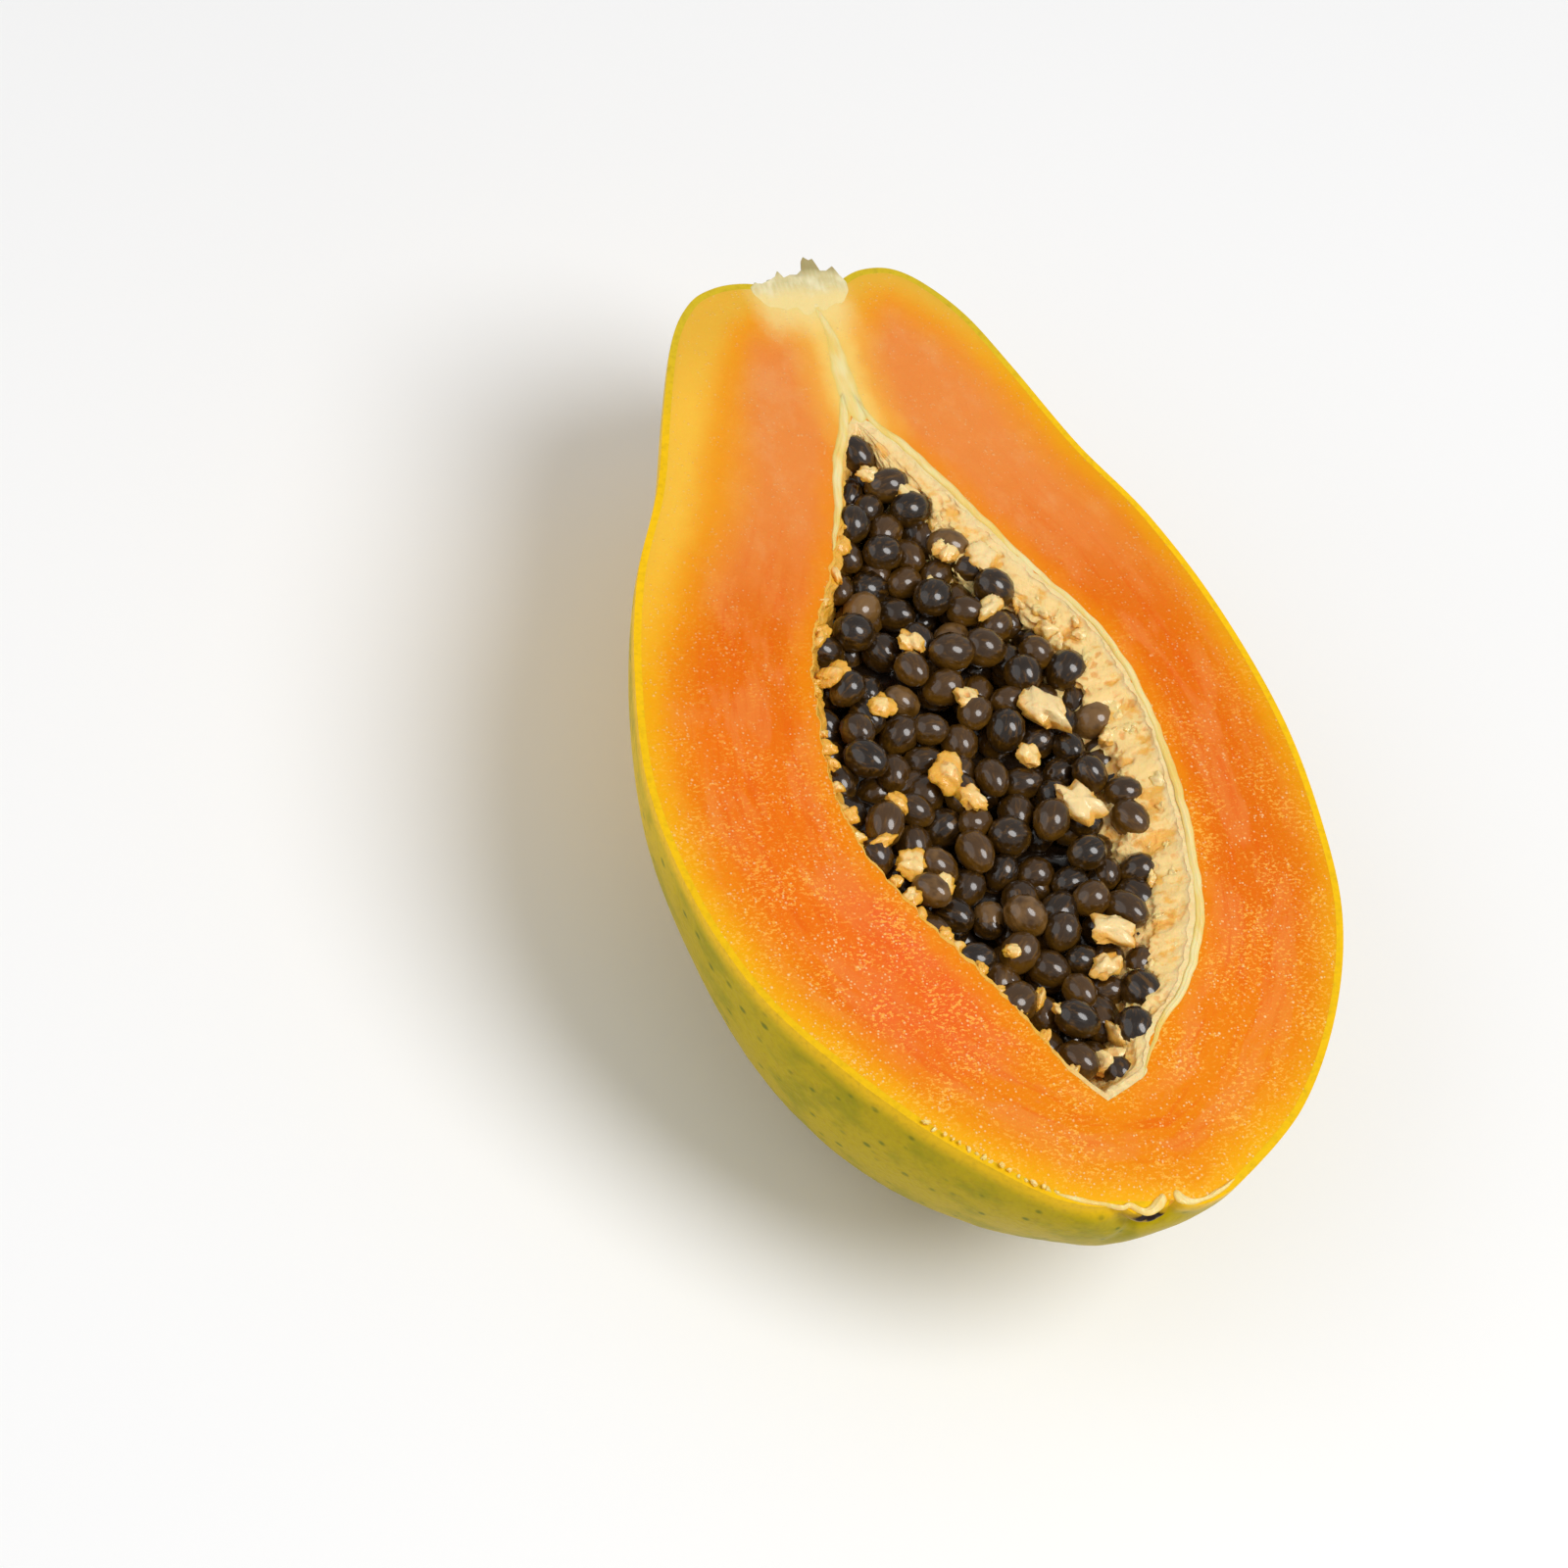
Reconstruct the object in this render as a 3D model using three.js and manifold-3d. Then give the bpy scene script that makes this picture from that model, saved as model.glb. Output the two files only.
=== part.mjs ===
// Half of a ripe papaya, cut lengthwise through its stalk and its blossom end.
// It lies on its back with the cut face up, in millimetres with +Z up.
// The stalk end points to +Y, and the origin is under the middle of the bounding box.
import * as THREE from 'three';
import { mergeVertices } from 'three/addons/utils/BufferGeometryUtils.js';
import Module from 'manifold-3d';

const wasm = await Module();
wasm.setup();

// Driving dimensions. The fruit is drawn in its cut plane: "out" is the distance from
// the long axis, and "along" runs from the stalk end at 0 to the blossom end at 181.
const PEEL_THICKNESS = 1.2;
const GAP = 0.3;
const REST_DEPTH = 50;

// Edges shorter than the tolerance are drawn together where solids are cut, and a ring
// is never narrower than the least distance out.
const TOLERANCE = 0.02;
const LEAST_OUT = 0.02;
const MERGE_DISTANCE = 1e-4;
const BLOCK_SIZE = 200;

// The outline of the fruit as pairs of out and along: the right and left edges of the
// cut face, and the belly straight below the axis.
const FRUIT = {
  right: [
    [0, 4.5], [3.5, 3.2], [6.5, 0.2], [11, -2], [16.5, -1.9], [21.5, 1.6], [27, 9.2],
    [31.8, 21], [38, 38], [45.5, 53.5], [51.3, 73], [54.6, 96], [53.8, 117],
    [50.5, 134.5], [42.5, 151.5], [31, 166.5], [17.5, 176.6], [10.5, 179.9], [5, 179.9],
    [0, 179.5],
  ],
  left: [
    [0, 4.5], [3.5, 3.2], [6.5, 0.8], [11, -0.3], [16.5, 0.4], [21.6, 3.3], [26.7, 10.5],
    [32, 24], [38, 41], [46.3, 58.3], [52, 77], [55.6, 98], [54, 119],
    [48.5, 136.5], [39.5, 150.5], [28.5, 163.5], [16.5, 174], [9.5, 178], [5, 178.8],
    [0, 179.5],
  ],
  belly: [
    [0, 4.5], [3.3, 3.2], [6, 0.5], [10.2, -1.2], [15.4, -0.8], [20.1, 2.4], [25, 9.8],
    [29.8, 22.5], [35.6, 39.5], [43, 56], [48.7, 75], [50.9, 97], [50.2, 118],
    [48.7, 135.5], [43.1, 151], [31.6, 165], [18.1, 175.3], [10, 179.2], [5, 179.6],
    [0, 179.5],
  ],
};
const FRUIT_ROWS = 36;
const FRUIT_COLUMNS = 36;
const LOBE_COUNT = 5;
const LOBE_HEIGHT = 0.022;
const LOBE_REACH = 16;
const TIP_START = 170;
const TIP_HEIGHT = 1.7;
const TIP_REACH = 3.4;

// The seed cavity, pointed at both ends.
const CAVITY = {
  right: [
    [0, 29], [4.5, 32.5], [10.5, 43], [15.4, 52], [22, 64.2], [28.6, 76], [31.3, 90],
    [31.3, 102], [29.9, 115], [26.5, 130], [19.5, 142.5], [11.5, 150], [7.6, 157], [0, 161],
  ],
  left: [
    [0, 29], [3, 33], [6, 40], [9.8, 51.5], [15.5, 63], [21.6, 74.5], [24.6, 88],
    [26, 100], [24.5, 113], [18.4, 127], [12.7, 137], [7.8, 147], [4.4, 155], [0, 161],
  ],
  belly: [
    [0, 29], [3.6, 33], [7.6, 41.5], [12, 52], [17, 63.5], [21.5, 75.5], [24.4, 89],
    [25.6, 101], [25, 114], [21.8, 128.5], [16, 140], [10, 149.5], [5.6, 156.5], [0, 161],
  ],
};
const CAVITY_REACH = 32;
const CAVITY_ROWS = 26;
const CAVITY_COLUMNS = 24;

// The pithy lining of the cavity is thicker on the right, where it shows as a slope.
const LINING_RIGHT = 4.2;
const LINING_LEFT = 1.6;
const LINING_BELLY = 3;
const LINING_LUMP = 0.75;
const LUMP_PITCHES = [2.1, 3.7];
const LUMP_TURNS = [3, 7];
const LINING_LENGTH = 0.96;
const CAVITY_MIDDLE = 95;

// The seeds lie in a heap that fills the cavity almost to the cut.
const SEED_COUNT = 132;
const SEED_SPACING = 5.9;
const SEED_HALF_LENGTH = 3.5;
const SEED_HALF_WIDTH = 2.9;
const SEED_SIDES = 6;
const SEED_RINGS = 4;
const SEED_SIZES = [0.86, 1.1];
const SEED_LEAN = 1.2;
const SEED_DRAW = 11;
const EVEN_STEP = [0.7548776662, 0.5698402910];
const SETTLE_ROUNDS = 60;
const SETTLE_SHARE = 0.45;
const BED_START = 35;
const BED_END = 157;
const BED_MARGIN_LEFT = 2.6;
const BED_MARGIN_RIGHT = 5.2;
const HEAP_TOP = -2.7;
const HEAP_LAYER = 3;
const HEAP_FALL = 2.2;
const HEAP_FALL_SPAN = [6, 26];
const SEEDS_TOP = 0.6;
const HEAP_CELLS = 12;

// What is left of the stalk, cut through with the fruit.
const STALK = {
  right: [[0, -2.4], [2.4, -2.5], [5, -2.4], [6.8, -1], [6.6, 1], [4.8, 4.4], [2.6, 8], [0, 10]],
  left: [[0, -2.4], [2.4, -1.8], [5.5, -1.4], [8.6, -0.2], [7.6, 1.6], [5, 4.8], [2.6, 8], [0, 10]],
  belly: [[0, -2.4], [2.4, -2.2], [5.2, -2], [7.8, -0.8], [7.2, 1.4], [5, 4.6], [2.6, 8], [0, 10]],
};
const STALK_ROWS = 14;
const STALK_COLUMNS = 32;
const TOOTH_WAVES = 5;
const TOOTH_TURN = 0.9;
const TOOTH_HEIGHT = 2.6;
const TOOTH_PLACE = 0.3;
const TOOTH_SPREAD = 0.2;

// A seeded stream of numbers from 0 to 1.
function randomStream(seed) {
  let state = seed;
  return () => {
    state = (state * 16807) % 2147483647;
    return state / 2147483647;
  };
}

// Smooth samples of one outline, each moved in by the inset along its own normal. The two
// ends are poles on the axis, which all outlines of a body share.
function outlineSamples(points, rows, inset) {
  const curve = new THREE.SplineCurve(points.map(([out, along]) => new THREE.Vector2(out, along)));
  const samples = [{ out: 0, along: points[0][1] + inset }];
  for (let i = 1; i < rows; i += 1) {
    const here = curve.getPoint(i / rows);
    const tangent = curve.getTangent(i / rows);
    const out = Math.max(here.x - inset * tangent.y, LEAST_OUT);
    samples.push({ out, along: here.y + inset * tangent.x });
  }
  samples.push({ out: 0, along: points[points.length - 1][1] - inset });
  return samples;
}

// A whole closed body round the long axis. Each ring goes from a side outline to the belly
// outline by the sine of its angle, so that the cut plane shows the side outlines.
function roundBody(shape, { rows, columns, inset = 0, change = null }) {
  const [right, left, belly] = [shape.right, shape.left, shape.belly].map((points) =>
    outlineSamples(points, rows, inset),
  );
  const positions = [];
  const triangles = [];
  for (let i = 0; i <= rows; i += 1) {
    for (let j = 0; j < columns; j += 1) {
      const angle = (2 * Math.PI * j) / columns;
      const share = Math.abs(Math.sin(angle));
      const side = Math.cos(angle) > 0 ? right[i] : left[i];
      let out = THREE.MathUtils.lerp(side.out, belly[i].out, share);
      let along = THREE.MathUtils.lerp(side.along, belly[i].along, share);
      if (change) [out, along] = change(out, along, angle, i / rows);
      if (i === 0 || i === rows) out = 0;
      const onCut = (2 * j) % columns === 0;
      positions.push(out * Math.cos(angle), -along, onCut ? 0 : -out * Math.sin(angle));
    }
  }
  const at = (i, j) => i * columns + (j % columns);
  for (let i = 0; i < rows; i += 1) {
    for (let j = 0; j < columns; j += 1) {
      triangles.push([at(i, j), at(i + 1, j), at(i + 1, j + 1)]);
      triangles.push([at(i, j), at(i + 1, j + 1), at(i, j + 1)]);
    }
  }
  return solidFrom(positions, triangles);
}

// A Manifold solid from loose positions and triangles.
function solidFrom(positions, triangles) {
  const loose = new THREE.BufferGeometry();
  loose.setAttribute('position', new THREE.Float32BufferAttribute(positions, 3));
  loose.setIndex(triangles.flat());
  const merged = mergeVertices(loose, MERGE_DISTANCE);
  const index = merged.index.array;
  const kept = [];
  for (let k = 0; k < index.length; k += 3) {
    const [a, b, c] = [index[k], index[k + 1], index[k + 2]];
    if (a !== b && b !== c && c !== a) kept.push(a, b, c);
  }
  const mesh = new wasm.Mesh({
    numProp: 3,
    vertProperties: new Float32Array(merged.attributes.position.array),
    triVerts: new Uint32Array(kept),
    tolerance: TOLERANCE,
  });
  return new wasm.Manifold(mesh);
}

// A Manifold solid from a closed three.js geometry.
function solidOf(geometry) {
  const bare = geometry.index ? geometry.toNonIndexed() : geometry;
  const positions = Array.from(bare.attributes.position.array);
  const triangles = [];
  for (let k = 0; k < positions.length / 3; k += 3) triangles.push([k, k + 1, k + 2]);
  return solidFrom(positions, triangles);
}

// The largest of the separate bodies in a solid.
function largest(solid) {
  return solid.decompose().reduce((best, next) => (next.volume() > best.volume() ? next : best));
}

// The lower half of a solid, cut at the given height, as a named mesh.
function halved(name, solid, height, colour, roughness) {
  const half = largest(cutAbove(solid, height));
  const { vertProperties, triVerts } = half.getMesh();
  const geometry = new THREE.BufferGeometry();
  geometry.setAttribute('position', new THREE.Float32BufferAttribute(vertProperties, 3));
  geometry.setIndex(Array.from(triVerts));
  geometry.computeVertexNormals();
  const material = new THREE.MeshStandardMaterial({ color: colour, roughness, metalness: 0 });
  const mesh = new THREE.Mesh(geometry, material);
  mesh.name = name;
  return mesh;
}

// Everything that lies above or below a height is cut away with a large block.
function cutAbove(solid, height) {
  const block = new THREE.BoxGeometry(BLOCK_SIZE, 2 * BLOCK_SIZE, BLOCK_SIZE);
  block.translate(0, -BLOCK_SIZE / 2, height + BLOCK_SIZE / 2);
  return solid.subtract(solidOf(block));
}

function cutBelow(solid, height) {
  const block = new THREE.BoxGeometry(BLOCK_SIZE, 2 * BLOCK_SIZE, BLOCK_SIZE);
  block.translate(0, -BLOCK_SIZE / 2, height - BLOCK_SIZE / 2);
  return solid.subtract(solidOf(block));
}

// Five soft lobes swell round the stalk and the blossom end.
function fruitLobes(out, along, angle) {
  const nearEnd = Math.exp(-(((out - LOBE_REACH) / LOBE_REACH) ** 2));
  const wave = Math.cos(LOBE_COUNT * (angle - Math.PI / 2)) * Math.sin(angle) ** 2;
  return [out * (1 + LOBE_HEIGHT * wave * nearEnd), along];
}

// The skin also has a small raised tip in the middle of the blossom end.
function skinShape(out, along, angle) {
  const tip = along > TIP_START ? TIP_HEIGHT * Math.exp(-((out / TIP_REACH) ** 4)) : 0;
  return fruitLobes(out, along + tip, angle);
}

// The whole fruit, drawn in by the inset, with the small flat under it that it rests on.
function fruitBody(inset) {
  const change = inset > 0 ? fruitLobes : skinShape;
  const round = roundBody(FRUIT, { rows: FRUIT_ROWS, columns: FRUIT_COLUMNS, inset, change });
  return cutBelow(round, inset - REST_DEPTH);
}

function cavityBody(inset, change = null) {
  return roundBody(CAVITY, { rows: CAVITY_ROWS, columns: CAVITY_COLUMNS, inset, change });
}

// Ragged teeth stand round the top of the broken stalk.
function stalkTeeth(out, along, angle, t) {
  const onTop = Math.max(0, 1 - Math.abs(t - TOOTH_PLACE) / TOOTH_SPREAD);
  const tooth = Math.abs(Math.sin(TOOTH_WAVES * angle + TOOTH_TURN)) ** 3;
  return [out, along - TOOTH_HEIGHT * tooth * onTop];
}

function stalkBody(inset) {
  return roundBody(STALK, { rows: STALK_ROWS, columns: STALK_COLUMNS, inset, change: stalkTeeth });
}

// The inner wall of the lining: the cavity made shorter, and drawn in by a thickness that
// changes round it and by low lumps.
function liningWall(out, along, angle) {
  const side = Math.cos(angle) > 0 ? LINING_RIGHT : LINING_LEFT;
  const thick = THREE.MathUtils.lerp(side, LINING_BELLY, Math.sin(angle) ** 2);
  const firstWave = Math.sin(along / LUMP_PITCHES[0] + LUMP_TURNS[0] * angle);
  const secondWave = Math.sin(along / LUMP_PITCHES[1] - LUMP_TURNS[1] * angle);
  const lump = LINING_LUMP * firstWave * secondWave;
  const taper = Math.min(1, out / (2 * thick));
  const inner = Math.max(out - (thick + lump) * taper, LEAST_OUT);
  return [inner, THREE.MathUtils.lerp(CAVITY_MIDDLE, along, LINING_LENGTH)];
}

// The room for the seeds is the gap inside that wall.
function seedRoomWall(out, along, angle) {
  return liningWall(out - GAP, along, angle);
}

// The height of the topmost seeds' middles, which falls towards the right wall.
function heapHeight(x) {
  return HEAP_TOP - HEAP_FALL * THREE.MathUtils.smoothstep(x, ...HEAP_FALL_SPAN);
}

// How far a side of the cavity is from the axis at a place along the fruit.
function cavityReach(side, along) {
  const points = CAVITY[side];
  let k = 1;
  while (k < points.length - 1 && points[k][1] < along) k += 1;
  const [[out0, along0], [out1, along1]] = [points[k - 1], points[k]];
  const share = THREE.MathUtils.clamp((along - along0) / (along1 - along0), 0, 1);
  return THREE.MathUtils.lerp(out0, out1, share);
}

// A seed's middle is kept inside the bed: off the walls, and within the top layer.
function keepInBed(seed) {
  const { clamp } = THREE.MathUtils;
  seed.along = clamp(seed.along, BED_START, BED_END);
  const left = Math.min(BED_MARGIN_LEFT - cavityReach('left', seed.along), 0);
  const right = Math.max(cavityReach('right', seed.along) - BED_MARGIN_RIGHT, 0);
  seed.x = clamp(seed.x, left, right);
  const top = heapHeight(seed.x);
  seed.z = clamp(seed.z, top - HEAP_LAYER, top);
}

// Seeds start spread evenly over the cavity by two steps that never fall into a pattern,
// and settle by pushing each other apart.
function seedPlaces() {
  const random = randomStream(SEED_DRAW);
  const seeds = [];
  for (let k = 1; seeds.length < SEED_COUNT; k += 1) {
    const along = THREE.MathUtils.lerp(BED_START, BED_END, (k * EVEN_STEP[0]) % 1);
    const x = THREE.MathUtils.lerp(-CAVITY_REACH, CAVITY_REACH, (k * EVEN_STEP[1]) % 1);
    const z = HEAP_TOP - HEAP_LAYER * random();
    const size = THREE.MathUtils.lerp(...SEED_SIZES, random());
    const turn = Math.PI * random();
    const lean = SEED_LEAN * (random() - 0.5);
    const inside = x > -cavityReach('left', along) && x < cavityReach('right', along);
    if (inside) seeds.push({ x, along, z, size, turn, lean });
  }
  for (let round = 0; round < SETTLE_ROUNDS; round += 1) {
    const pushes = seeds.map(() => [0, 0, 0]);
    seeds.forEach((a, i) => {
      seeds.forEach((b, j) => {
        const away = [a.x - b.x, a.along - b.along, a.z - b.z];
        const distance = Math.hypot(...away);
        const lack = (SEED_SPACING * (a.size + b.size)) / 2 - distance;
        if (i === j || lack <= 0) return;
        away.forEach((part, axis) => {
          pushes[i][axis] += (SETTLE_SHARE * lack * part) / distance;
        });
      });
    });
    seeds.forEach((seed, i) => {
      seed.x += pushes[i][0];
      seed.along += pushes[i][1];
      seed.z += pushes[i][2];
      keepInBed(seed);
    });
  }
  return seeds;
}

// One seed: a plump egg with few sides.
function seedBody({ x, along, z, size, turn, lean }) {
  const egg = new THREE.SphereGeometry(1, SEED_SIDES, SEED_RINGS);
  egg.rotateZ(Math.PI / 2);
  egg.scale(SEED_HALF_LENGTH * size, SEED_HALF_WIDTH * size, SEED_HALF_WIDTH * size);
  egg.rotateY(lean);
  egg.rotateZ(turn);
  egg.translate(x, -along, z);
  return solidOf(egg);
}

// The heap under the seeds: a block with a top that follows them, which they stand out of.
function heapCore() {
  const height = BLOCK_SIZE / 4;
  const length = BED_END - BED_START;
  const block = new THREE.BoxGeometry(2 * CAVITY_REACH, length, height, HEAP_CELLS, 1, 1);
  const place = block.attributes.position;
  for (let k = 0; k < place.count; k += 1) {
    const top = place.getZ(k) > 0 ? heapHeight(place.getX(k)) - HEAP_LAYER : -height;
    place.setZ(k, top);
    place.setY(k, place.getY(k) - (BED_START + BED_END) / 2);
  }
  return solidOf(block);
}

function buildPapaya() {
  const stalkHole = stalkBody(-GAP);
  const skinned = fruitBody(PEEL_THICKNESS);
  const peel = fruitBody(0).subtract(skinned).subtract(stalkHole);
  const flesh = fruitBody(PEEL_THICKNESS + GAP).subtract(cavityBody(0)).subtract(stalkHole);
  const lining = cavityBody(GAP).subtract(cavityBody(0, liningWall));
  const heap = wasm.Manifold.union([heapCore(), ...seedPlaces().map(seedBody)]);
  const seeds = heap.intersect(cavityBody(0, seedRoomWall));

  const fruit = new THREE.Group();
  fruit.add(
    halved('peel', peel, 0, '#b8a800', 0.45),
    halved('flesh', flesh, 0, '#f07f1e', 0.35),
    halved('placenta', lining, 0, '#eebf7a', 0.5),
    halved('seeds', seeds, SEEDS_TOP, '#2a211c', 0.25),
    halved('stalk', stalkBody(0), 0, '#d8cf8e', 0.7),
  );
  return fruit;
}

// The finished fruit is moved so that it rests on the ground plane, centred on the origin.
const papaya = buildPapaya();
const box = new THREE.Box3().setFromObject(papaya);
const middle = box.getCenter(new THREE.Vector3());
papaya.position.set(-middle.x, -middle.y, -box.min.z);

export default papaya;
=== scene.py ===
# %% [markdown]
# # Half of a ripe papaya
# A papaya cut lengthwise shows five things at once: a waxy skin, moist orange flesh, a cream
# pith that lines the cavity, a heap of seeds in wet coats, and a stub of broken stalk. They
# could be sculpted by hand, but each is a simple surface with an irregular edge, so here each
# is worked out as a grid of points by a formula. The solids of the part are loaded first,
# because every piece has to sit in the room that its solid holds.

# %% Load the frame
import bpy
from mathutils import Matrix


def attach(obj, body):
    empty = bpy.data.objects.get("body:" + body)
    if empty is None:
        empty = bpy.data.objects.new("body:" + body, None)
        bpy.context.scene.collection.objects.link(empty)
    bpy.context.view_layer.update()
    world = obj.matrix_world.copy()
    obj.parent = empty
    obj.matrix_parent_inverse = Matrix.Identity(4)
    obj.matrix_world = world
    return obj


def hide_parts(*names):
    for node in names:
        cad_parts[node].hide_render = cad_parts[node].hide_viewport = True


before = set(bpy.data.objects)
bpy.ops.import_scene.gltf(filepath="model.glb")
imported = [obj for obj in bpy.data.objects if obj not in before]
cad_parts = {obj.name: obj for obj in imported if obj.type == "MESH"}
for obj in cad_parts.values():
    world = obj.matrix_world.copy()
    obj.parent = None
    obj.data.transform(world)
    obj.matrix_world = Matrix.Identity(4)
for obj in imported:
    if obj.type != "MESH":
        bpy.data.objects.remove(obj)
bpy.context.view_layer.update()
print("solids:", sorted(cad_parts))

# %% [markdown]
# # The fruit's own measures
# The fruit is measured in its cut face, in millimetres. "Across" is the distance to the right
# of the long axis, "along" runs from the hollow of the stalk at 0 to the blossom end at 181,
# and "height" is 0 on the cut face. The frame is in metres, with the stalk end towards +Y, so
# one helper turns the fruit's measures into places in the frame. The part's origin is on the
# floor under the middle of its box, so the middle's place on the fruit is all it needs.

# %% Measures and places
import math

import bmesh
import bpy
import numpy as np
from mathutils import Matrix

MILLIMETRE = 0.001
MIDDLE_ACROSS = 0.488
MIDDLE_ALONG = 88.358
REST_DEPTH = 50.0


def in_frame(across, along, height):
    """Places in metres: across to the right of the axis, along away from the stalk end, height up."""
    across, along, height = np.broadcast_arrays(across, along, height)
    moved = [across + MIDDLE_ACROSS, MIDDLE_ALONG - along, height + REST_DEPTH]
    return np.stack(moved, axis=-1) * MILLIMETRE


print("middle of the cut face:", in_frame(0.0, 95.0, 0.0).round(4).tolist())

# %% [markdown]
# # The camera
# The photograph looks down on the cut face from the blossom end's side with a long lens, and
# the fruit leans to the left in the picture. The half lies level here, so the camera takes the
# lean: it looks down at the angle between the real camera and the real cut face, and is rolled
# so that the fruit stands in the picture as it does there.

# %% Camera
CAMERA_RIGHT = (0.9246, -0.2806, 0.2577)
CAMERA_UP = (0.0908, 0.8193, 0.5661)
CAMERA_BACK = (-0.37, -0.5, 0.783)
CAMERA_PLACE = (-0.2814, -0.3463, 0.5751)

lens = bpy.data.cameras.new("camera")
lens.lens = 100
lens.sensor_width = 36
lens.clip_start = 0.01
camera = bpy.data.objects.new("camera", lens)
turned = Matrix((CAMERA_RIGHT, CAMERA_UP, CAMERA_BACK)).transposed()
camera.matrix_world = Matrix.Translation(CAMERA_PLACE) @ turned.to_4x4()
bpy.context.collection.objects.link(camera)
bpy.context.scene.camera = camera
print("camera at", [round(v, 3) for v in camera.location])

# %% [markdown]
# # Smooth outlines
# The edges of a cut fruit are smooth and never quite regular. A traced outline with twenty
# points, joined by a curve that passes through all of them, keeps that irregularity. The same
# curve, moved in along its own normal, gives the inner edge of the skin.

# %% Outline curve
LEAST_OUT = 0.02
FINE_STEPS = 2001
TINY = 1e-12


def unit(slopes):
    """Slopes made one long."""
    return slopes / (np.linalg.norm(slopes, axis=1, keepdims=True) + TINY)


def outline_curve(points, shares):
    """Places and slopes on the smooth curve through the points.

    Between two points the curve is the cubic that leaves each one in the direction from its
    neighbour before to its neighbour after. A share of 0 is the first point, 1 the last.
    """
    points = np.array(points, float)
    last = len(points) - 1
    padded = np.concatenate([points[:1], points, points[-1:]])
    reach = np.clip(shares, 0, 1) * last
    start = np.minimum(reach.astype(int), last - 1)
    part = (reach - start)[:, None]
    before, here, after, beyond = (padded[start + step] for step in range(4))
    leave = (after - before) / 2
    arrive = (beyond - here) / 2
    cubic = 2 * here - 2 * after + leave + arrive
    square = -3 * here + 3 * after - 2 * leave - arrive
    place = ((cubic * part + square) * part + leave) * part + here
    slope = (3 * cubic * part + 2 * square) * part + leave
    return place, slope


def even_shares(points, count):
    """Shares that are equal lengths apart on an outline's curve, read off its summed length."""
    fine = np.linspace(0, 1, FINE_STEPS)
    steps = np.linalg.norm(np.diff(outline_curve(points, fine)[0], axis=0), axis=1)
    run = np.concatenate([[0], np.cumsum(steps)])
    return np.interp(np.linspace(0, run[-1], count), run, fine)


def inset_outline(points, shares, inset):
    """The outline's curve moved in along its normal. Both ends stay on the axis."""
    place, slope = outline_curve(points, shares)
    slope = unit(slope)
    out = np.maximum(place[:, 0] - inset * slope[:, 1], LEAST_OUT)
    along = place[:, 1] + inset * slope[:, 0]
    out[[0, -1]] = 0
    along[[0, -1]] = points[0][1] + inset, points[-1][1] - inset
    return np.stack([out, along], axis=-1)


print("a curve's top:", outline_curve([(0, 0), (1, 1), (2, 0)], np.array([0.5]))[0].tolist())

# %% [markdown]
# # A round body from three outlines
# Only the cut edge of the fruit is traced, so the round back needs a rule. A lathe would make
# it the same all round. Here every ring is blended: on the cut face it is the right or the left
# edge, and straight below the axis it is the belly's outline.

# %% Round bodies
def round_body(shape, shares, angles, inset=0.0):
    """How far out and along each point of a body lies, one row for each share.

    At an angle the ring is the side outline moved towards the belly outline by |sin(angle)|.
    """
    right, left, belly = (
        inset_outline(shape[side], shares, inset)[:, None] for side in ("right", "left", "belly")
    )
    towards_belly = np.abs(np.sin(angles))[None, :, None]
    side = np.where((np.cos(angles) > 0)[None, :, None], right, left)
    ring = side + (belly - side) * towards_belly
    return ring[..., 0], ring[..., 1]


def around(out, along, angles):
    """Places of a body's points: the angle turns from the right side down to the belly."""
    return out * np.cos(angles), along, -out * np.sin(angles)


print("straight below the axis:", np.round(around(1.0, 0.0, math.pi / 2), 3).tolist())

# %% [markdown]
# # Uneven surfaces
# Nothing on a fruit is quite smooth. A sum of a few sine waves in different directions, drawn
# from a seeded list, gives a soft unevenness that is the same on every run.

# %% Ripples
def ripples(first, second, pitch, draw, waves=7):
    """A sum of sine waves in different directions, from about -1 to 1.

    Each wave's length is 0.7 to 1.5 times the pitch, and its direction and start are drawn.
    """
    chance = np.random.default_rng(draw)
    turns = chance.uniform(0, 2 * math.pi, waves)
    phases = chance.uniform(0, 2 * math.pi, waves)
    pitches = pitch * chance.uniform(0.7, 1.5, waves)
    total = np.zeros(np.broadcast(first, second).shape)
    for turn, phase, length in zip(turns, phases, pitches):
        travel = first * math.cos(turn) + second * math.sin(turn)
        total += np.sin(2 * math.pi * travel / length + phase)
    return total / math.sqrt(2 * waves)


def ease(values, low, high):
    """0 below low and 1 above high, with a soft S between them."""
    part = np.clip((values - low) / (high - low), 0, 1)
    return part * part * (3 - 2 * part)


print("ripples of 10 mm at four places:", ripples(np.arange(4) * 5.0, 0.0, 10, 1).round(2).tolist())

# %% [markdown]
# # From grids to meshes
# Every piece is one or more grids of points. Each cell of a grid becomes a face with four
# corners. Where a grid closes at a seam or a pole, its points fall together and are merged, and
# then the faces of the closed shape are turned outwards.

# %% Make a piece
MERGE_DISTANCE = 2e-6
SHARP_ANGLE = math.radians(55)


def grid_faces(rows, columns, first, closed):
    """The four corners of each cell: a point, the next row's, and their neighbours' in the row."""
    index = first + np.arange(rows * columns).reshape(rows, columns)
    if closed:
        index = np.concatenate([index, index[:, :1]], axis=1)
    corners = [index[:-1, :-1], index[1:, :-1], index[1:, 1:], index[:-1, 1:]]
    return np.stack(corners, axis=-1).reshape(-1, 4)


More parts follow.
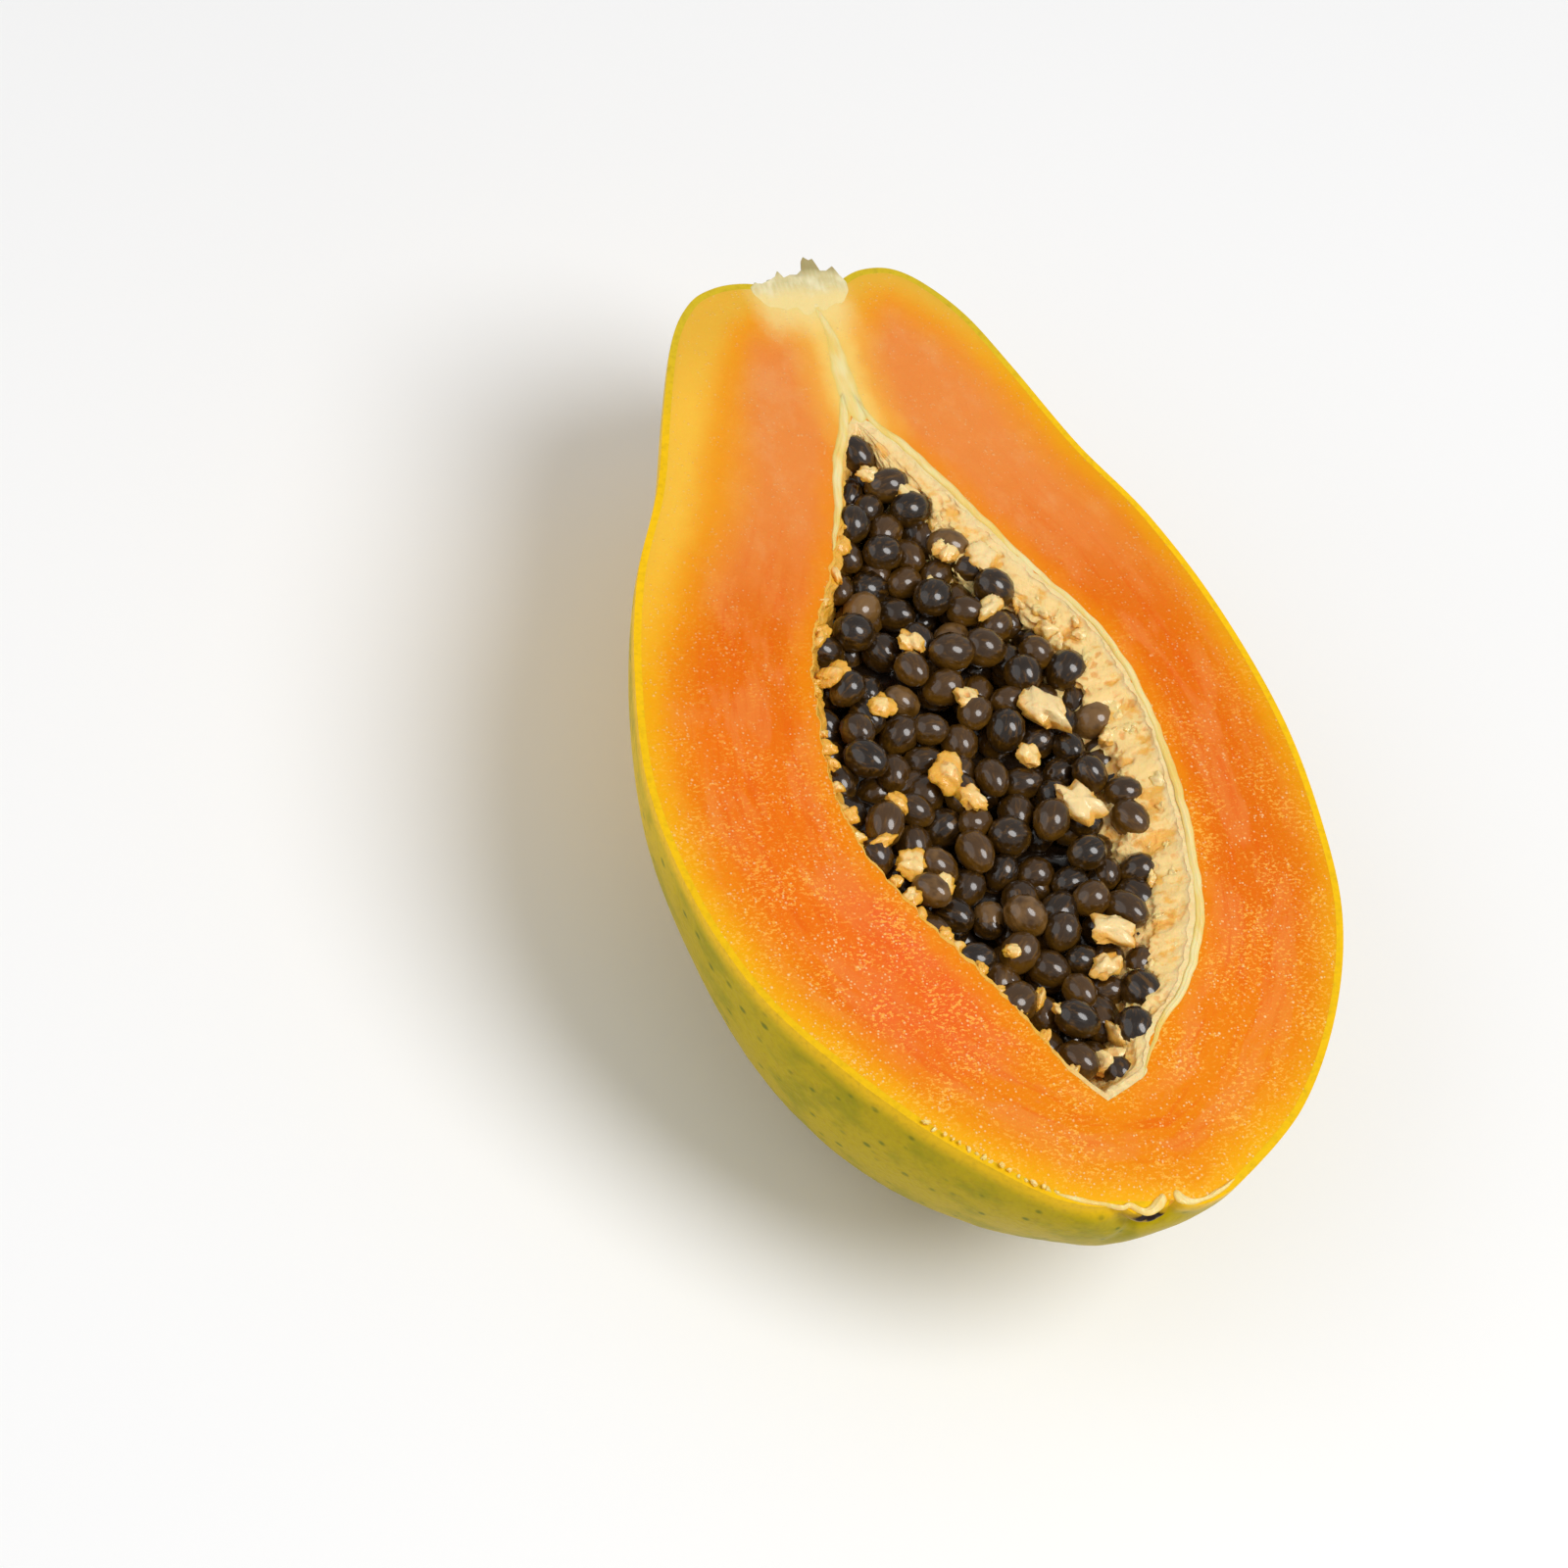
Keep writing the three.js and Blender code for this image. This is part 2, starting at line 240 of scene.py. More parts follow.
def make_piece(name, sheets, replaces=()):
    """A mesh of sheets, each a grid of places, whether its rows close, and numbers kept with it."""
    places, faces, first = [], [], 0
    for grid, closed, _ in sheets:
        rows, columns = grid.shape[:2]
        faces.append(grid_faces(rows, columns, first, closed))
        places.append(grid.reshape(-1, 3))
        first += rows * columns
    mesh = bpy.data.meshes.new(name)
    mesh.from_pydata(np.concatenate(places).tolist(), [], np.concatenate(faces).tolist())
    for label in sheets[0][2]:
        numbers = np.concatenate([sheet[2][label].reshape(-1) for sheet in sheets])
        attribute = mesh.attributes.new(label, "FLOAT", "POINT")
        attribute.data.foreach_set("value", numbers.astype(np.float32))
    shell = bmesh.new()
    shell.from_mesh(mesh)
    bmesh.ops.remove_doubles(shell, verts=shell.verts, dist=MERGE_DISTANCE)
    bmesh.ops.recalc_face_normals(shell, faces=shell.faces)
    open_edges = sum(not edge.is_manifold for edge in shell.edges)
    shell.to_mesh(mesh)
    shell.free()
    mesh.shade_smooth()
    mesh.set_sharp_from_angle(angle=SHARP_ANGLE)
    piece = bpy.data.objects.new(name, mesh)
    bpy.context.collection.objects.link(piece)
    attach(piece, "root")
    if replaces:
        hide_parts(*replaces)
    print(f"{name}: {len(mesh.polygons)} faces, {open_edges} open edges")
    return piece


print("cells of a grid of 3 by 4 points:", len(grid_faces(3, 4, 0, closed=False)))

# %% [markdown]
# # Shader maths in words
# A material is a set of nodes, and long chains of them are hard to read. A small class stands
# for one output of a node, so that a sum of two outputs adds its own Math node. A mask turns an
# output into a share from 0 to 1, with a soft edge between two limits.

# %% Values
class Value:
    """One output of a node. Sums with it add the Math nodes that work them out."""

    def __init__(self, finish, socket):
        self.finish = finish
        self.socket = socket

    def maths(self, operation, first, second):
        return self.finish.node("ShaderNodeMath", {"operation": operation}, {0: first, 1: second})

    def __add__(self, other):
        return self.maths("ADD", self, other)

    def __sub__(self, other):
        return self.maths("SUBTRACT", self, other)

    def __mul__(self, other):
        return self.maths("MULTIPLY", self, other)

    def __rsub__(self, other):
        return self.maths("SUBTRACT", other, self)

    __radd__ = __add__
    __rmul__ = __mul__

    def mask(self, low, high):
        """0 below low and 1 above high, with a soft S between them. It also works turned round."""
        values = {"Value": self, "From Min": low, "From Max": high}
        return self.finish.node("ShaderNodeMapRange", {"interpolation_type": "SMOOTHSTEP"}, values)


print("a value can be used in", sorted(name for name in vars(Value) if "add" in name or "mul" in name))

# %% [markdown]
# # A finish that is painted
# A second class stands for the whole finish. It starts with one colour and is painted over in
# turns, as a model is painted: each coat of paint covers the last one where its share is 1.
# Colours are written as they look on a screen and turned into the linear numbers that light
# needs.

# %% Finishes
def tint(code):
    """A colour such as f08020, as four linear numbers."""
    screen = np.array([int(code[k:k + 2], 16) for k in (0, 2, 4)]) / 255
    linear = np.where(screen <= 0.04045, screen / 12.92, ((screen + 0.055) / 1.055) ** 2.4)
    return (*linear.tolist(), 1.0)


class Finish:
    """A material with one shader, and the colour that is painted on it so far."""

    def __init__(self, name, base, **numbers):
        """Numbers that are the same all over are set on the shader."""
        self.material = bpy.data.materials.new(name)
        self.material.use_nodes = True
        self.tree = self.material.node_tree
        self.shader = self.tree.nodes["Principled BSDF"]
        self.colour = base
        for socket, number in numbers.items():
            self.shader.inputs[socket.replace("_", " ")].default_value = number

    def node(self, kind, settings=None, values=None, output=0):
        """Adds a node: its settings first, then its sockets' values or links."""
        node = self.tree.nodes.new(kind)
        for setting, choice in (settings or {}).items():
            setattr(node, setting, choice)
        for socket, value in (values or {}).items():
            self.fill(node.inputs[socket], value)
        return Value(self, node.outputs[output])

    def fill(self, socket, value):
        """Links an output to the socket, or sets a number or a colour's code on it."""
        if isinstance(value, Value):
            self.tree.links.new(value.socket, socket)
        else:
            socket.default_value = tint(value) if isinstance(value, str) else value

    def blend(self, under, over, share):
        """The under colour, covered by the over colour where the share is 1."""
        return self.node("ShaderNodeMix", {"data_type": "RGBA"}, {0: share, 6: under, 7: over}, 2)

    def paint(self, over, share):
        """One more coat of paint on the finish's own colour."""
        self.colour = self.blend(self.colour, over, share)

    def show(self, **values):
        """Feeds the colour, and what else changes over the surface, into the shader."""
        for socket, value in {"Base_Color": self.colour, **values}.items():
            self.fill(self.shader.inputs[socket.replace("_", " ")], value)

    def coat(self, piece):
        """Gives the piece this finish and no other."""
        piece.data.materials.clear()
        piece.data.materials.append(self.material)
        print(f"{self.material.name}: {len(self.tree.nodes)} nodes on {piece.name}")


print("orange as light:", [round(v, 3) for v in tint("f08020")])

# %% [markdown]
# # Patterns
# Four patterns are enough for a fruit: where the surface lies, soft clouds, cells for spots, and
# a number kept with the mesh, such as the distance to the rim. Each is measured in millimetres
# on the fruit itself, so that a fleck keeps its size wherever it lies.

# %% Patterns
ACROSS, STALKWARD, UPWARD = range(3)
OBJECT_PLACES = 3
CELL_CHANCE = 1


def surface_places(finish, stretch=(1, 1, 1), shift=(0, 0, 0)):
    """The piece's own places in millimetres, divided by a stretch in each direction."""
    places = finish.node("ShaderNodeTexCoord", output=OBJECT_PLACES)
    scale = tuple(1 / (MILLIMETRE * part) for part in stretch)
    return finish.node("ShaderNodeMapping", {}, {"Vector": places, "Scale": scale, "Location": shift})


def surface_axis(finish, axis):
    """How far the surface lies from the part's origin along one axis, in millimetres."""
    return finish.node("ShaderNodeSeparateXYZ", {}, {0: surface_places(finish)}, axis)


def clouds(finish, size, stretch=(1, 1, 1), detail=2.0, roughness=0.5, shift=(0, 0, 0)):
    """Soft patches about size millimetres across, from 0 to 1."""
    vector = surface_places(finish, stretch, shift)
    values = {"Vector": vector, "Scale": 1 / size, "Detail": detail, "Roughness": roughness}
    return finish.node("ShaderNodeTexNoise", {}, values)


def cells(finish, size, stretch=(1, 1, 1), output=0):
    """Distance to the middle of the nearest cell, in cell sizes, or a chance for each cell."""
    vector = surface_places(finish, stretch)
    return finish.node("ShaderNodeTexVoronoi", {}, {"Vector": vector, "Scale": 1 / size}, output)


def kept_number(finish, label):
    """A number kept with the mesh."""
    return finish.node("ShaderNodeAttribute", {"attribute_name": label}, {}, 2)


def relief(finish, height, depth):
    """Small bumps in the shading, depth millimetres high."""
    values = {"Strength": 1.0, "Distance": depth * MILLIMETRE, "Height": height}
    return finish.node("ShaderNodeBump", {}, values)


print("the scale of a pattern that is measured in millimetres:", 1 / MILLIMETRE)

# %% [markdown]
# # The outline of the fruit
# The cut edge has a hollow at the stalk, broad shoulders and a blunt blossom end. These are the
# same points as in the solids, so the skin lies where its solid does.

# %% Fruit outlines
FRUIT = {
    "right": [
        [0, 4.5], [3.5, 3.2], [6.5, 0.2], [11, -2], [16.5, -1.9], [21.5, 1.6], [27, 9.2],
        [31.8, 21], [38, 38], [45.5, 53.5], [51.3, 73], [54.6, 96], [53.8, 117],
        [50.5, 134.5], [42.5, 151.5], [31, 166.5], [17.5, 176.6], [10.5, 179.9], [5, 179.9],
        [0, 179.5],
    ],
    "left": [
        [0, 4.5], [3.5, 3.2], [6.5, 0.8], [11, -0.3], [16.5, 0.4], [21.6, 3.3], [26.7, 10.5],
        [32, 24], [38, 41], [46.3, 58.3], [52, 77], [55.6, 98], [54, 119],
        [48.5, 136.5], [39.5, 150.5], [28.5, 163.5], [16.5, 174], [9.5, 178], [5, 178.8],
        [0, 179.5],
    ],
    "belly": [
        [0, 4.5], [3.3, 3.2], [6, 0.5], [10.2, -1.2], [15.4, -0.8], [20.1, 2.4], [25, 9.8],
        [29.8, 22.5], [35.6, 39.5], [43, 56], [48.7, 75], [50.9, 97], [50.2, 118],
        [48.7, 135.5], [43.1, 151], [31.6, 165], [18.1, 175.3], [10, 179.2], [5, 179.6],
        [0, 179.5],
    ],
}
PEEL_THICKNESS = 1.2
LOBES = 5
LOBE_RISE = 0.022
LOBE_OUT = 16


def lobed(out, angles):
    """Five soft lobes round the ends: out grows by a share of cos(5 angle) sin(angle) squared.

    The share is a bell curve, and greatest where the body is 16 mm from its axis.
    """
    near_end = np.exp(-(((out - LOBE_OUT) / LOBE_OUT) ** 2))
    wave = np.cos(LOBES * (angles - math.pi / 2)) * np.sin(angles) ** 2
    return out * (1 + LOBE_RISE * wave * near_end)


print("widest at", max(FRUIT["right"])[1], "mm from the stalk end")

# %% [markdown]
# # The skin
# The skin is a thin waxy layer that shows as the round back and as a fine line at the cut rim.
# A shell with a thickness could be had from Solidify, but its edge would not lie flat in the
# cut. So each ring of the grid goes round the outside, over the rim, back along the inside and
# over the other rim. The blossom end has a small raised tip with a groove round it, where the
# flower once sat. The scar that it left is kept with the mesh as a number.

# %% Skin
SKIN_ROWS = 221
RIM_RISE = 0.03
END_FROM = 168
END_FULL = 174
outside = np.linspace(0, math.pi, 121)
inside = np.linspace(math.pi, 0, 41)
skin_shares = np.linspace(0, 1, SKIN_ROWS)


def rested(height, inset):
    """Heights no lower than the floor and the inset, which leaves a small flat spot below."""
    return np.maximum(height, inset - REST_DEPTH)


def blossom_end(out, along, angles):
    """The end of the skin: a raised tip with a pit, a ring groove 4.4 mm out, and five creases.

    Each is a bell curve added along the fruit, and only the last 12 mm are changed.
    """
    ended = ease(along, END_FROM, END_FULL)
    tip = 1.5 * np.exp(-((out / 3.0) ** 4)) - 0.8 * np.exp(-((out / 1.1) ** 2))
    groove = (1.0 + 0.5 * np.cos(angles)) * np.exp(-(((out - 4.4) / 0.9) ** 2))
    fold = np.abs(np.sin(LOBES * angles / 2 + 0.35)) ** 8
    crease = 0.6 * fold * np.exp(-(((out - 8) / 4) ** 2)) * np.minimum(out / 2, 1)
    return along + ended * (tip - groove - crease)


out, along = round_body(FRUIT, skin_shares, outside)
dents = 0.12 * ripples(out * outside, along, 17, 3) + 0.05 * ripples(out * outside, along, 5, 4)
out = lobed(out, outside) + dents * np.minimum(out / 8, 1) * np.sin(outside)
outer_along = blossom_end(out, along, outside)
star = 2.1 + 0.5 * np.cos(LOBES * outside) + 0.3 * np.sin(3 * outside)
scar = np.exp(-((out / star) ** 2)) * ease(along, END_FROM, END_FULL)
across, along, height = around(out, outer_along, outside)
outer_skin = in_frame(across, along, rested(height, 0.0))
out, along = round_body(FRUIT, skin_shares, inside, PEEL_THICKNESS)
across, along, height = around(lobed(out, inside), along, inside)
inner_skin = in_frame(across, along, rested(height, PEEL_THICKNESS))
rim_rise = [0, 0, RIM_RISE * MILLIMETRE]
rim_left = (outer_skin[:, -1:] + inner_skin[:, :1]) / 2 + rim_rise
rim_right = (outer_skin[:, :1] + inner_skin[:, -1:]) / 2 + rim_rise
skin_loops = np.concatenate([outer_skin, rim_left, inner_skin, rim_right], axis=1)
scar = np.pad(scar, ((0, 0), (0, skin_loops.shape[1] - scar.shape[1])))
skin = make_piece("skin", [(skin_loops, True, {"scar": scar})], ["peel"])

# %% [markdown]
# # How the skin looks
# Ripe skin is bright yellow where it has turned and olive green where it hasn't. Green mottling
# lies in soft patches, with small dark flecks that are longer along the fruit. The wax gives a
# satin gloss. All of it is painted with patterns in the fruit's own space, because a picture
# wrapped round the fruit would stretch at both ends.

# %% Skin finish
FLECK_SIZE = 2.5
FLECK_STRETCH = (1, 1.8, 1)
skin_finish = Finish(
    "waxy papaya skin", "b8a000", Specular_IOR_Level=0.07, Coat_Weight=0.03, Coat_Roughness=0.2
)
skin_across = surface_axis(skin_finish, ACROSS)
skin_stalkward = surface_axis(skin_finish, STALKWARD)
skin_height = surface_axis(skin_finish, UPWARD)
turning = clouds(skin_finish, 62, (1, 1.3, 1), detail=3, shift=(3, 1, 0))
mottle = clouds(skin_finish, 9, (1, 1.5, 1), detail=4, roughness=0.62)
skin_finish.paint("ffcf00", (turning * 120 + skin_stalkward).mask(20, 85))
skin_finish.paint("828400", (mottle - turning * 0.35).mask(0.30, 0.52) * 0.6)
fleck_chance = cells(skin_finish, FLECK_SIZE, FLECK_STRETCH, CELL_CHANCE)
fleck_present = (fleck_chance + mottle * 0.5).mask(0.74, 0.86)
fleck_reach = cells(skin_finish, FLECK_SIZE, FLECK_STRETCH)
skin_finish.paint("4a6408", (fleck_reach + mottle * 0.3).mask(0.44, 0.24) * fleck_present * 0.75)
scuffs = clouds(skin_finish, 3.2, (1, 3, 1), detail=4, shift=(7, 2, 5)).mask(0.68, 0.76)
skin_finish.paint("c4b240", scuffs * 0.4)
rim_colour = skin_finish.blend("fac414", "cdb42c", skin_stalkward.mask(50, 84))
skin_finish.paint(rim_colour, (skin_height + mottle * 3.0).mask(47.6, 51.2) * 0.85)
under_stub = skin_across.mask(-8.5, -6.5) * skin_across.mask(7.5, 6.0)
under_stub = under_stub * skin_stalkward.mask(80.0, 81.0) * skin_height.mask(49.0, 49.6)
skin_finish.paint("efdda0", under_stub)
pores = clouds(skin_finish, 0.9, detail=3)
ragged_scar = kept_number(skin_finish, "scar") + pores * 0.3
skin_finish.paint("8a6a18", ragged_scar.mask(0.1, 0.4) * 0.7)
skin_finish.paint("24140a", ragged_scar.mask(0.45, 0.75))
skin_finish.show(
    Roughness=0.34 + mottle * 0.16 + scuffs * 0.2,
    Normal=relief(skin_finish, pores * 0.5 + mottle, 0.16),
)
skin_finish.coat(skin)

# %% [markdown]
# # The cavity
# The cavity is pointed at both ends and reaches further to the right in the cut face, because
# the knife didn't pass through the middle of the fruit. The flesh surrounds it like a bowl. Its
# edge is torn where the pith was pulled along by the knife, so ripples are added to the outline.

# %% Cavity outlines
CAVITY = {
    "right": [
        [0, 29], [4.5, 32.5], [10.5, 43], [15.4, 52], [22, 64.2], [28.6, 76], [31.3, 90],
        [31.3, 102], [29.9, 115], [26.5, 130], [19.5, 142.5], [11.5, 150], [7.6, 157], [0, 161],
    ],
    "left": [
        [0, 29], [3, 33], [6, 40], [9.8, 51.5], [15.5, 63], [21.6, 74.5], [24.6, 88],
        [26, 100], [24.5, 113], [18.4, 127], [12.7, 137], [7.8, 147], [4.4, 155], [0, 161],
    ],
    "belly": [
        [0, 29], [3.6, 33], [7.6, 41.5], [12, 52], [17, 63.5], [21.5, 75.5], [24.4, 89],
        [25.6, 101], [25, 114], [21.8, 128.5], [16, 140], [10, 149.5], [5.6, 156.5], [0, 161],
    ],
}
CAVITY_END = 161


def cavity_reach(side, along):
    """How far a side of the cavity is from the axis, by straight lines between its points."""
    out, places = np.array(CAVITY[side], float).T
    return np.interp(along, places, out)


def cavity_body(shares, angles, inset=0.0):
    """The cavity's body with a torn edge: out changes by a third of a millimetre in small ripples."""
    out, along = round_body(CAVITY, shares, angles, inset)
    torn = 0.34 * ripples(angles * 22, along, 3.6, 27) + 0.16 * ripples(angles * 22, along, 1.5, 28)
    return np.maximum(out + torn * np.minimum(out / 8, 1), 0), along


print("cavity at its middle:", cavity_reach("left", 95.0).round(1), cavity_reach("right", 95.0).round(1))

# %% [markdown]
# # The flesh
# The cut face is a ring between the cavity and the skin. A ring grid follows both edges at once:
# its rows run from the cavity's edge to the rim, and its columns go round. The knife leaves the
# face a little wavy, and it rounds off at both edges. The ring is joined to the round outside
# and to the wall of the cavity, so that the flesh is one closed bowl. The distances to both
# edges are kept with the mesh, because the colours follow them.

# %% Flesh
FLESH_ROWS = 300
FACE_STEPS = 44
FLESH_INSET = 1.15
CORE_PATH = [(-0.9, 1.5), (0.2, 5), (1.3, 12), (0.9, 18), (0.6, 24), (1.0, 30.5)]
bowl = np.linspace(0, math.pi, 33)


def distance_to(points, loop):
    """The distance from each point to the nearest point of a loop, in the cut face."""
    gaps = points[..., None, :] - loop
    return np.sqrt((gaps ** 2).sum(axis=-1).min(axis=-1))


def face_height(across, along):
    """The cut face's height: a long low swell with a little fine unevenness on it."""
    return 0.05 + 0.16 * ripples(across, along, 24, 5) + 0.05 * ripples(across, along, 3.4, 6)


def face_loop(out, along):
    """The cut edge of a body as across and along: down the right side and back up the left."""
    right = np.stack([out[:, 0], along[:, 0]], axis=-1)
    left = np.stack([-out[:, -1], along[:, -1]], axis=-1)
    return np.concatenate([right, left[-2:0:-1]])


out, along = round_body(FRUIT, even_shares(FRUIT["right"], FLESH_ROWS), bowl, FLESH_INSET)
out = lobed(out, bowl)
rim = face_loop(out, along)
across, along, height = around(out, along, bowl)
back = in_frame(across, along, rested(height, FLESH_INSET))
out, along = cavity_body(even_shares(CAVITY["right"], FLESH_ROWS), bowl)
edge = face_loop(out, along)
wall = in_frame(*around(out, along, bowl))
face = edge + (rim - edge) * np.linspace(0, 1, FACE_STEPS)[:, None, None]
to_rim = distance_to(face, rim)
run = np.cumsum(np.linalg.norm(np.diff(rim, axis=0, prepend=rim[:1]), axis=1))
run = np.broadcast_to(run, to_rim.shape)
to_edge = distance_to(face, edge)
to_core = distance_to(face, outline_curve(CORE_PATH, np.linspace(0, 1, 60))[0])
rounded = (1 - np.exp(-to_rim / 0.7)) * (1 - np.exp(-to_edge / 0.9))
cut_face = in_frame(face[..., 0], face[..., 1], face_height(face[..., 0], face[..., 1]) * rounded)
FAR = 60.0
far_back = np.full(back.shape[:2], FAR)
far_wall = np.full(wall.shape[:2], FAR)
flesh = make_piece(
    "flesh_bowl",
    [
        (cut_face, True, {"to_rim": to_rim, "to_edge": to_edge, "to_core": to_core, "run": run}),
        (
            back, False,
            {"to_rim": 0 * far_back, "to_edge": far_back, "to_core": far_back, "run": far_back},
        ),
        (
            wall, False,
            {"to_rim": far_wall, "to_edge": 0 * far_wall, "to_core": far_wall, "run": far_wall},
        ),
    ],
    ["flesh"],
)

# %% [markdown]
# # How the flesh grew
# The flesh is paler or redder in patches that follow the way it grew: long beside the rim and
# short across it. So two of its patterns are made from the distance round the rim and the
# distance in from it. Others are plain clouds, which bend the bands so that none is even.

# %% Flesh patterns
flesh_finish = Finish(
    "moist papaya flesh", "e26c00",
    Subsurface_Weight=0.12, Subsurface_Scale=0.002, Specular_IOR_Level=0.12,
)
flesh_across = surface_axis(flesh_finish, ACROSS)
flesh_stalkward = surface_axis(flesh_finish, STALKWARD)
soft = clouds(flesh_finish, 16, (1, 1.8, 1), detail=3)
fine = clouds(flesh_finish, 3.2, (1, 1.6, 1), detail=4, roughness=0.6)
cloud = clouds(flesh_finish, 7, (1, 1.5, 1), detail=5, roughness=0.62, shift=(4, 9, 0))
rim_reach = kept_number(flesh_finish, "to_rim")
edge_reach = kept_number(flesh_finish, "to_edge")
core_reach = kept_number(flesh_finish, "to_core")
round_rim = kept_number(flesh_finish, "run")


def growth(run_size, reach_size, detail):
    """Patches that follow the growth, with a size round the rim and a size in from it."""
    places = {0: round_rim * (1 / run_size), 1: rim_reach * (1 / reach_size)}
    vector = flesh_finish.node("ShaderNodeCombineXYZ", {}, places)
    values = {"Vector": vector, "Scale": 1.0, "Detail": detail, "Roughness": 0.58, "Distortion": 0.4}
    return flesh_finish.node("ShaderNodeTexNoise", {}, values)


streak = growth(19, 2.0, 5.0)
patch = growth(20, 5.5, 4.0)
neck = (flesh_stalkward + soft * 30 - 15).mask(10, 50)
print("the flesh's patterns use", len(flesh_finish.tree.nodes), "nodes")

# %% [markdown]
# # The colours of the flesh
# The flesh is salmon in the neck and a deep orange round the cavity, redder at the lower left,
# and more golden towards the blossom end. Salmon patches and deep orange streaks lie over that.

# %% Flesh colours
lower_left = (flesh_stalkward + flesh_across * 0.7 + soft * 30 - 15).mask(0, -40)
flesh_finish.paint("ee7408", lower_left * 0.85)
flesh_finish.paint("ea8a3e", neck)
flesh_finish.paint("ea9a58", cloud.mask(0.48, 0.68) * neck * 0.6)
blossom = (flesh_stalkward + soft * 34 - 17).mask(-38, -72)
flesh_finish.paint("ea8800", blossom * 0.7)
flesh_finish.paint("ee8a42", patch.mask(0.47, 0.62) * (0.46 - neck * 0.38))
flesh_finish.paint("e45c00", streak.mask(0.48, 0.68) * (0.5 - neck * 0.42))
bent_across = flesh_across + soft * 12 - 6
red_across = bent_across.mask(-38, -28) * bent_across.mask(-8, -18)
bent_stalkward = flesh_stalkward + soft * 16 - 8
red_along = bent_stalkward.mask(-26, -38) * flesh_stalkward.mask(-72, -58)
flesh_finish.paint("ee5c28", red_across * red_along * (0.35 + cloud.mask(0.42, 0.6) * 0.35) * 0.9)
print("colour patches on the flesh, at", len(flesh_finish.tree.nodes), "nodes")

# %% [markdown]
# # The bands of the flesh
# A cut papaya has bands that follow its edges: a warm one beside the cavity, a golden one and a
# yellow one under the skin, wider and paler at the upper left, and a pale glow round the core.
# At the far right the golden and yellow bands are painted darker, as painted shade.

# %% Flesh bands
flesh_finish.paint("ef8c00", (edge_reach + fine * 3 + soft * 3).mask(8.5, 3.0) * 0.75)
pale_left = flesh_across.mask(-4, -22) * flesh_stalkward.mask(5, 45)
# Painted shade: the golden and yellow bands turn darker towards the far right.
shaded_far_right = flesh_across.mask(22, 42)
shoulder = flesh_stalkward.mask(60, 84)
bent_rim = rim_reach + soft * 4 + fine * 1.6 - 2.8
gold = flesh_finish.blend("f09c08", "e68400", shaded_far_right)
flesh_finish.paint(gold, (bent_rim - pale_left * 7 - shoulder * 3).mask(11.0, 0.0) * 0.85)
yellow = flesh_finish.blend("f5b206", "f6c040", pale_left)
yellow = flesh_finish.blend(yellow, "e6b23a", shoulder)
yellow = flesh_finish.blend(yellow, "ea9e00", shaded_far_right * 0.8)
flesh_finish.paint(yellow, (bent_rim - pale_left * 4 - shoulder * 2).mask(5.0, -1.5) * 0.9)
flesh_finish.paint("f3b042", (core_reach + fine * 2.0 - 1.0).mask(10.5, 2.5) * 0.85)
flesh_finish.paint("f6cc6a", (core_reach + fine * 2.4 - 1.2).mask(5.2, 1.6) * 0.85)
wavy_across = flesh_across + fine * 3
below_stub = wavy_across.mask(-10.5, -5.0) * wavy_across.mask(11.0, 5.5)
below_stub = below_stub * (flesh_stalkward + fine * 7 - 3.5).mask(74.0, 83.5)
flesh_finish.paint("f3d688", below_stub * 0.9)
print("bands on the flesh, at", len(flesh_finish.tree.nodes), "nodes")

# %% [markdown]
# # The juice on the flesh
# Juice stands on the cut in beads of half a millimetre and less, more of them towards the
# blossom end. Thousands of real drops would be slow, so the beads are cells of two sizes that
# are present by chance. Their pale colour is partly the juice and partly a painted highlight of
# its wet shine, and the glitter of finer clouds between them is painted glints.

# %% Flesh finish
SMALL_BEAD = 0.5
LARGE_BEAD = 0.95
# How much pale bead colour and painted glint there is, more towards the blossom end.
wet = 0.25 + (flesh_stalkward + soft * 30 - 15).mask(40, -50) * 0.55
small_bead = cells(flesh_finish, SMALL_BEAD).mask(0.46, 0.16)
small_here = (cells(flesh_finish, SMALL_BEAD, output=CELL_CHANCE) + fine * 0.9).mask(1.14, 1.3)
large_bead = cells(flesh_finish, LARGE_BEAD).mask(0.34, 0.1)
large_here = (cells(flesh_finish, LARGE_BEAD, output=CELL_CHANCE) + fine * 0.9).mask(1.22, 1.34)
bead_and_glint = small_bead * small_here + large_bead * large_here
# Painted highlight: pale juice beads, partly the juice's colour and partly painted wet shine.
flesh_finish.paint("ffd796", bead_and_glint * wet)
glitter = clouds(flesh_finish, 0.5, (1.5, 1, 1), detail=2, roughness=0.7, shift=(2, 5, 0))
glint = (glitter + cloud * 0.25).mask(0.64, 0.8)
# Painted glints: fine pale yellow glitter over the flesh.
flesh_finish.paint("ffc856", glint * (wet - 0.2) * (0.4 + cloud.mask(0.42, 0.58) * 0.6))
flesh_finish.show(
    Roughness=0.42 + fine * 0.2 - bead_and_glint * 0.3,
    Normal=relief(flesh_finish, fine * 1.2 + cloud * 0.5 + bead_and_glint * 0.3 + glitter * 0.25, 0.2),
)
flesh_finish.coat(flesh)

# %% [markdown]
# # The pith that lines the cavity
# The seeds grow on a cream pith. At the cut it is a thin whitish line, and on the right side it
# slopes down to the seeds as a lumpy band with little pits. Its wall is the cavity drawn in by a
# thickness that grows quickly below the cut, with three sizes of lumps on it. The columns of the
# grid crowd together near the cut, where the pith is seen most.

# %% Pith lining
LINING_ROWS = 301
LINING_GAP = -0.05
LEAST_PITH = 0.1
MEAN_RADIUS = 30
CAVITY_MIDDLE = 95
lining_shares = even_shares(CAVITY["right"], LINING_ROWS)


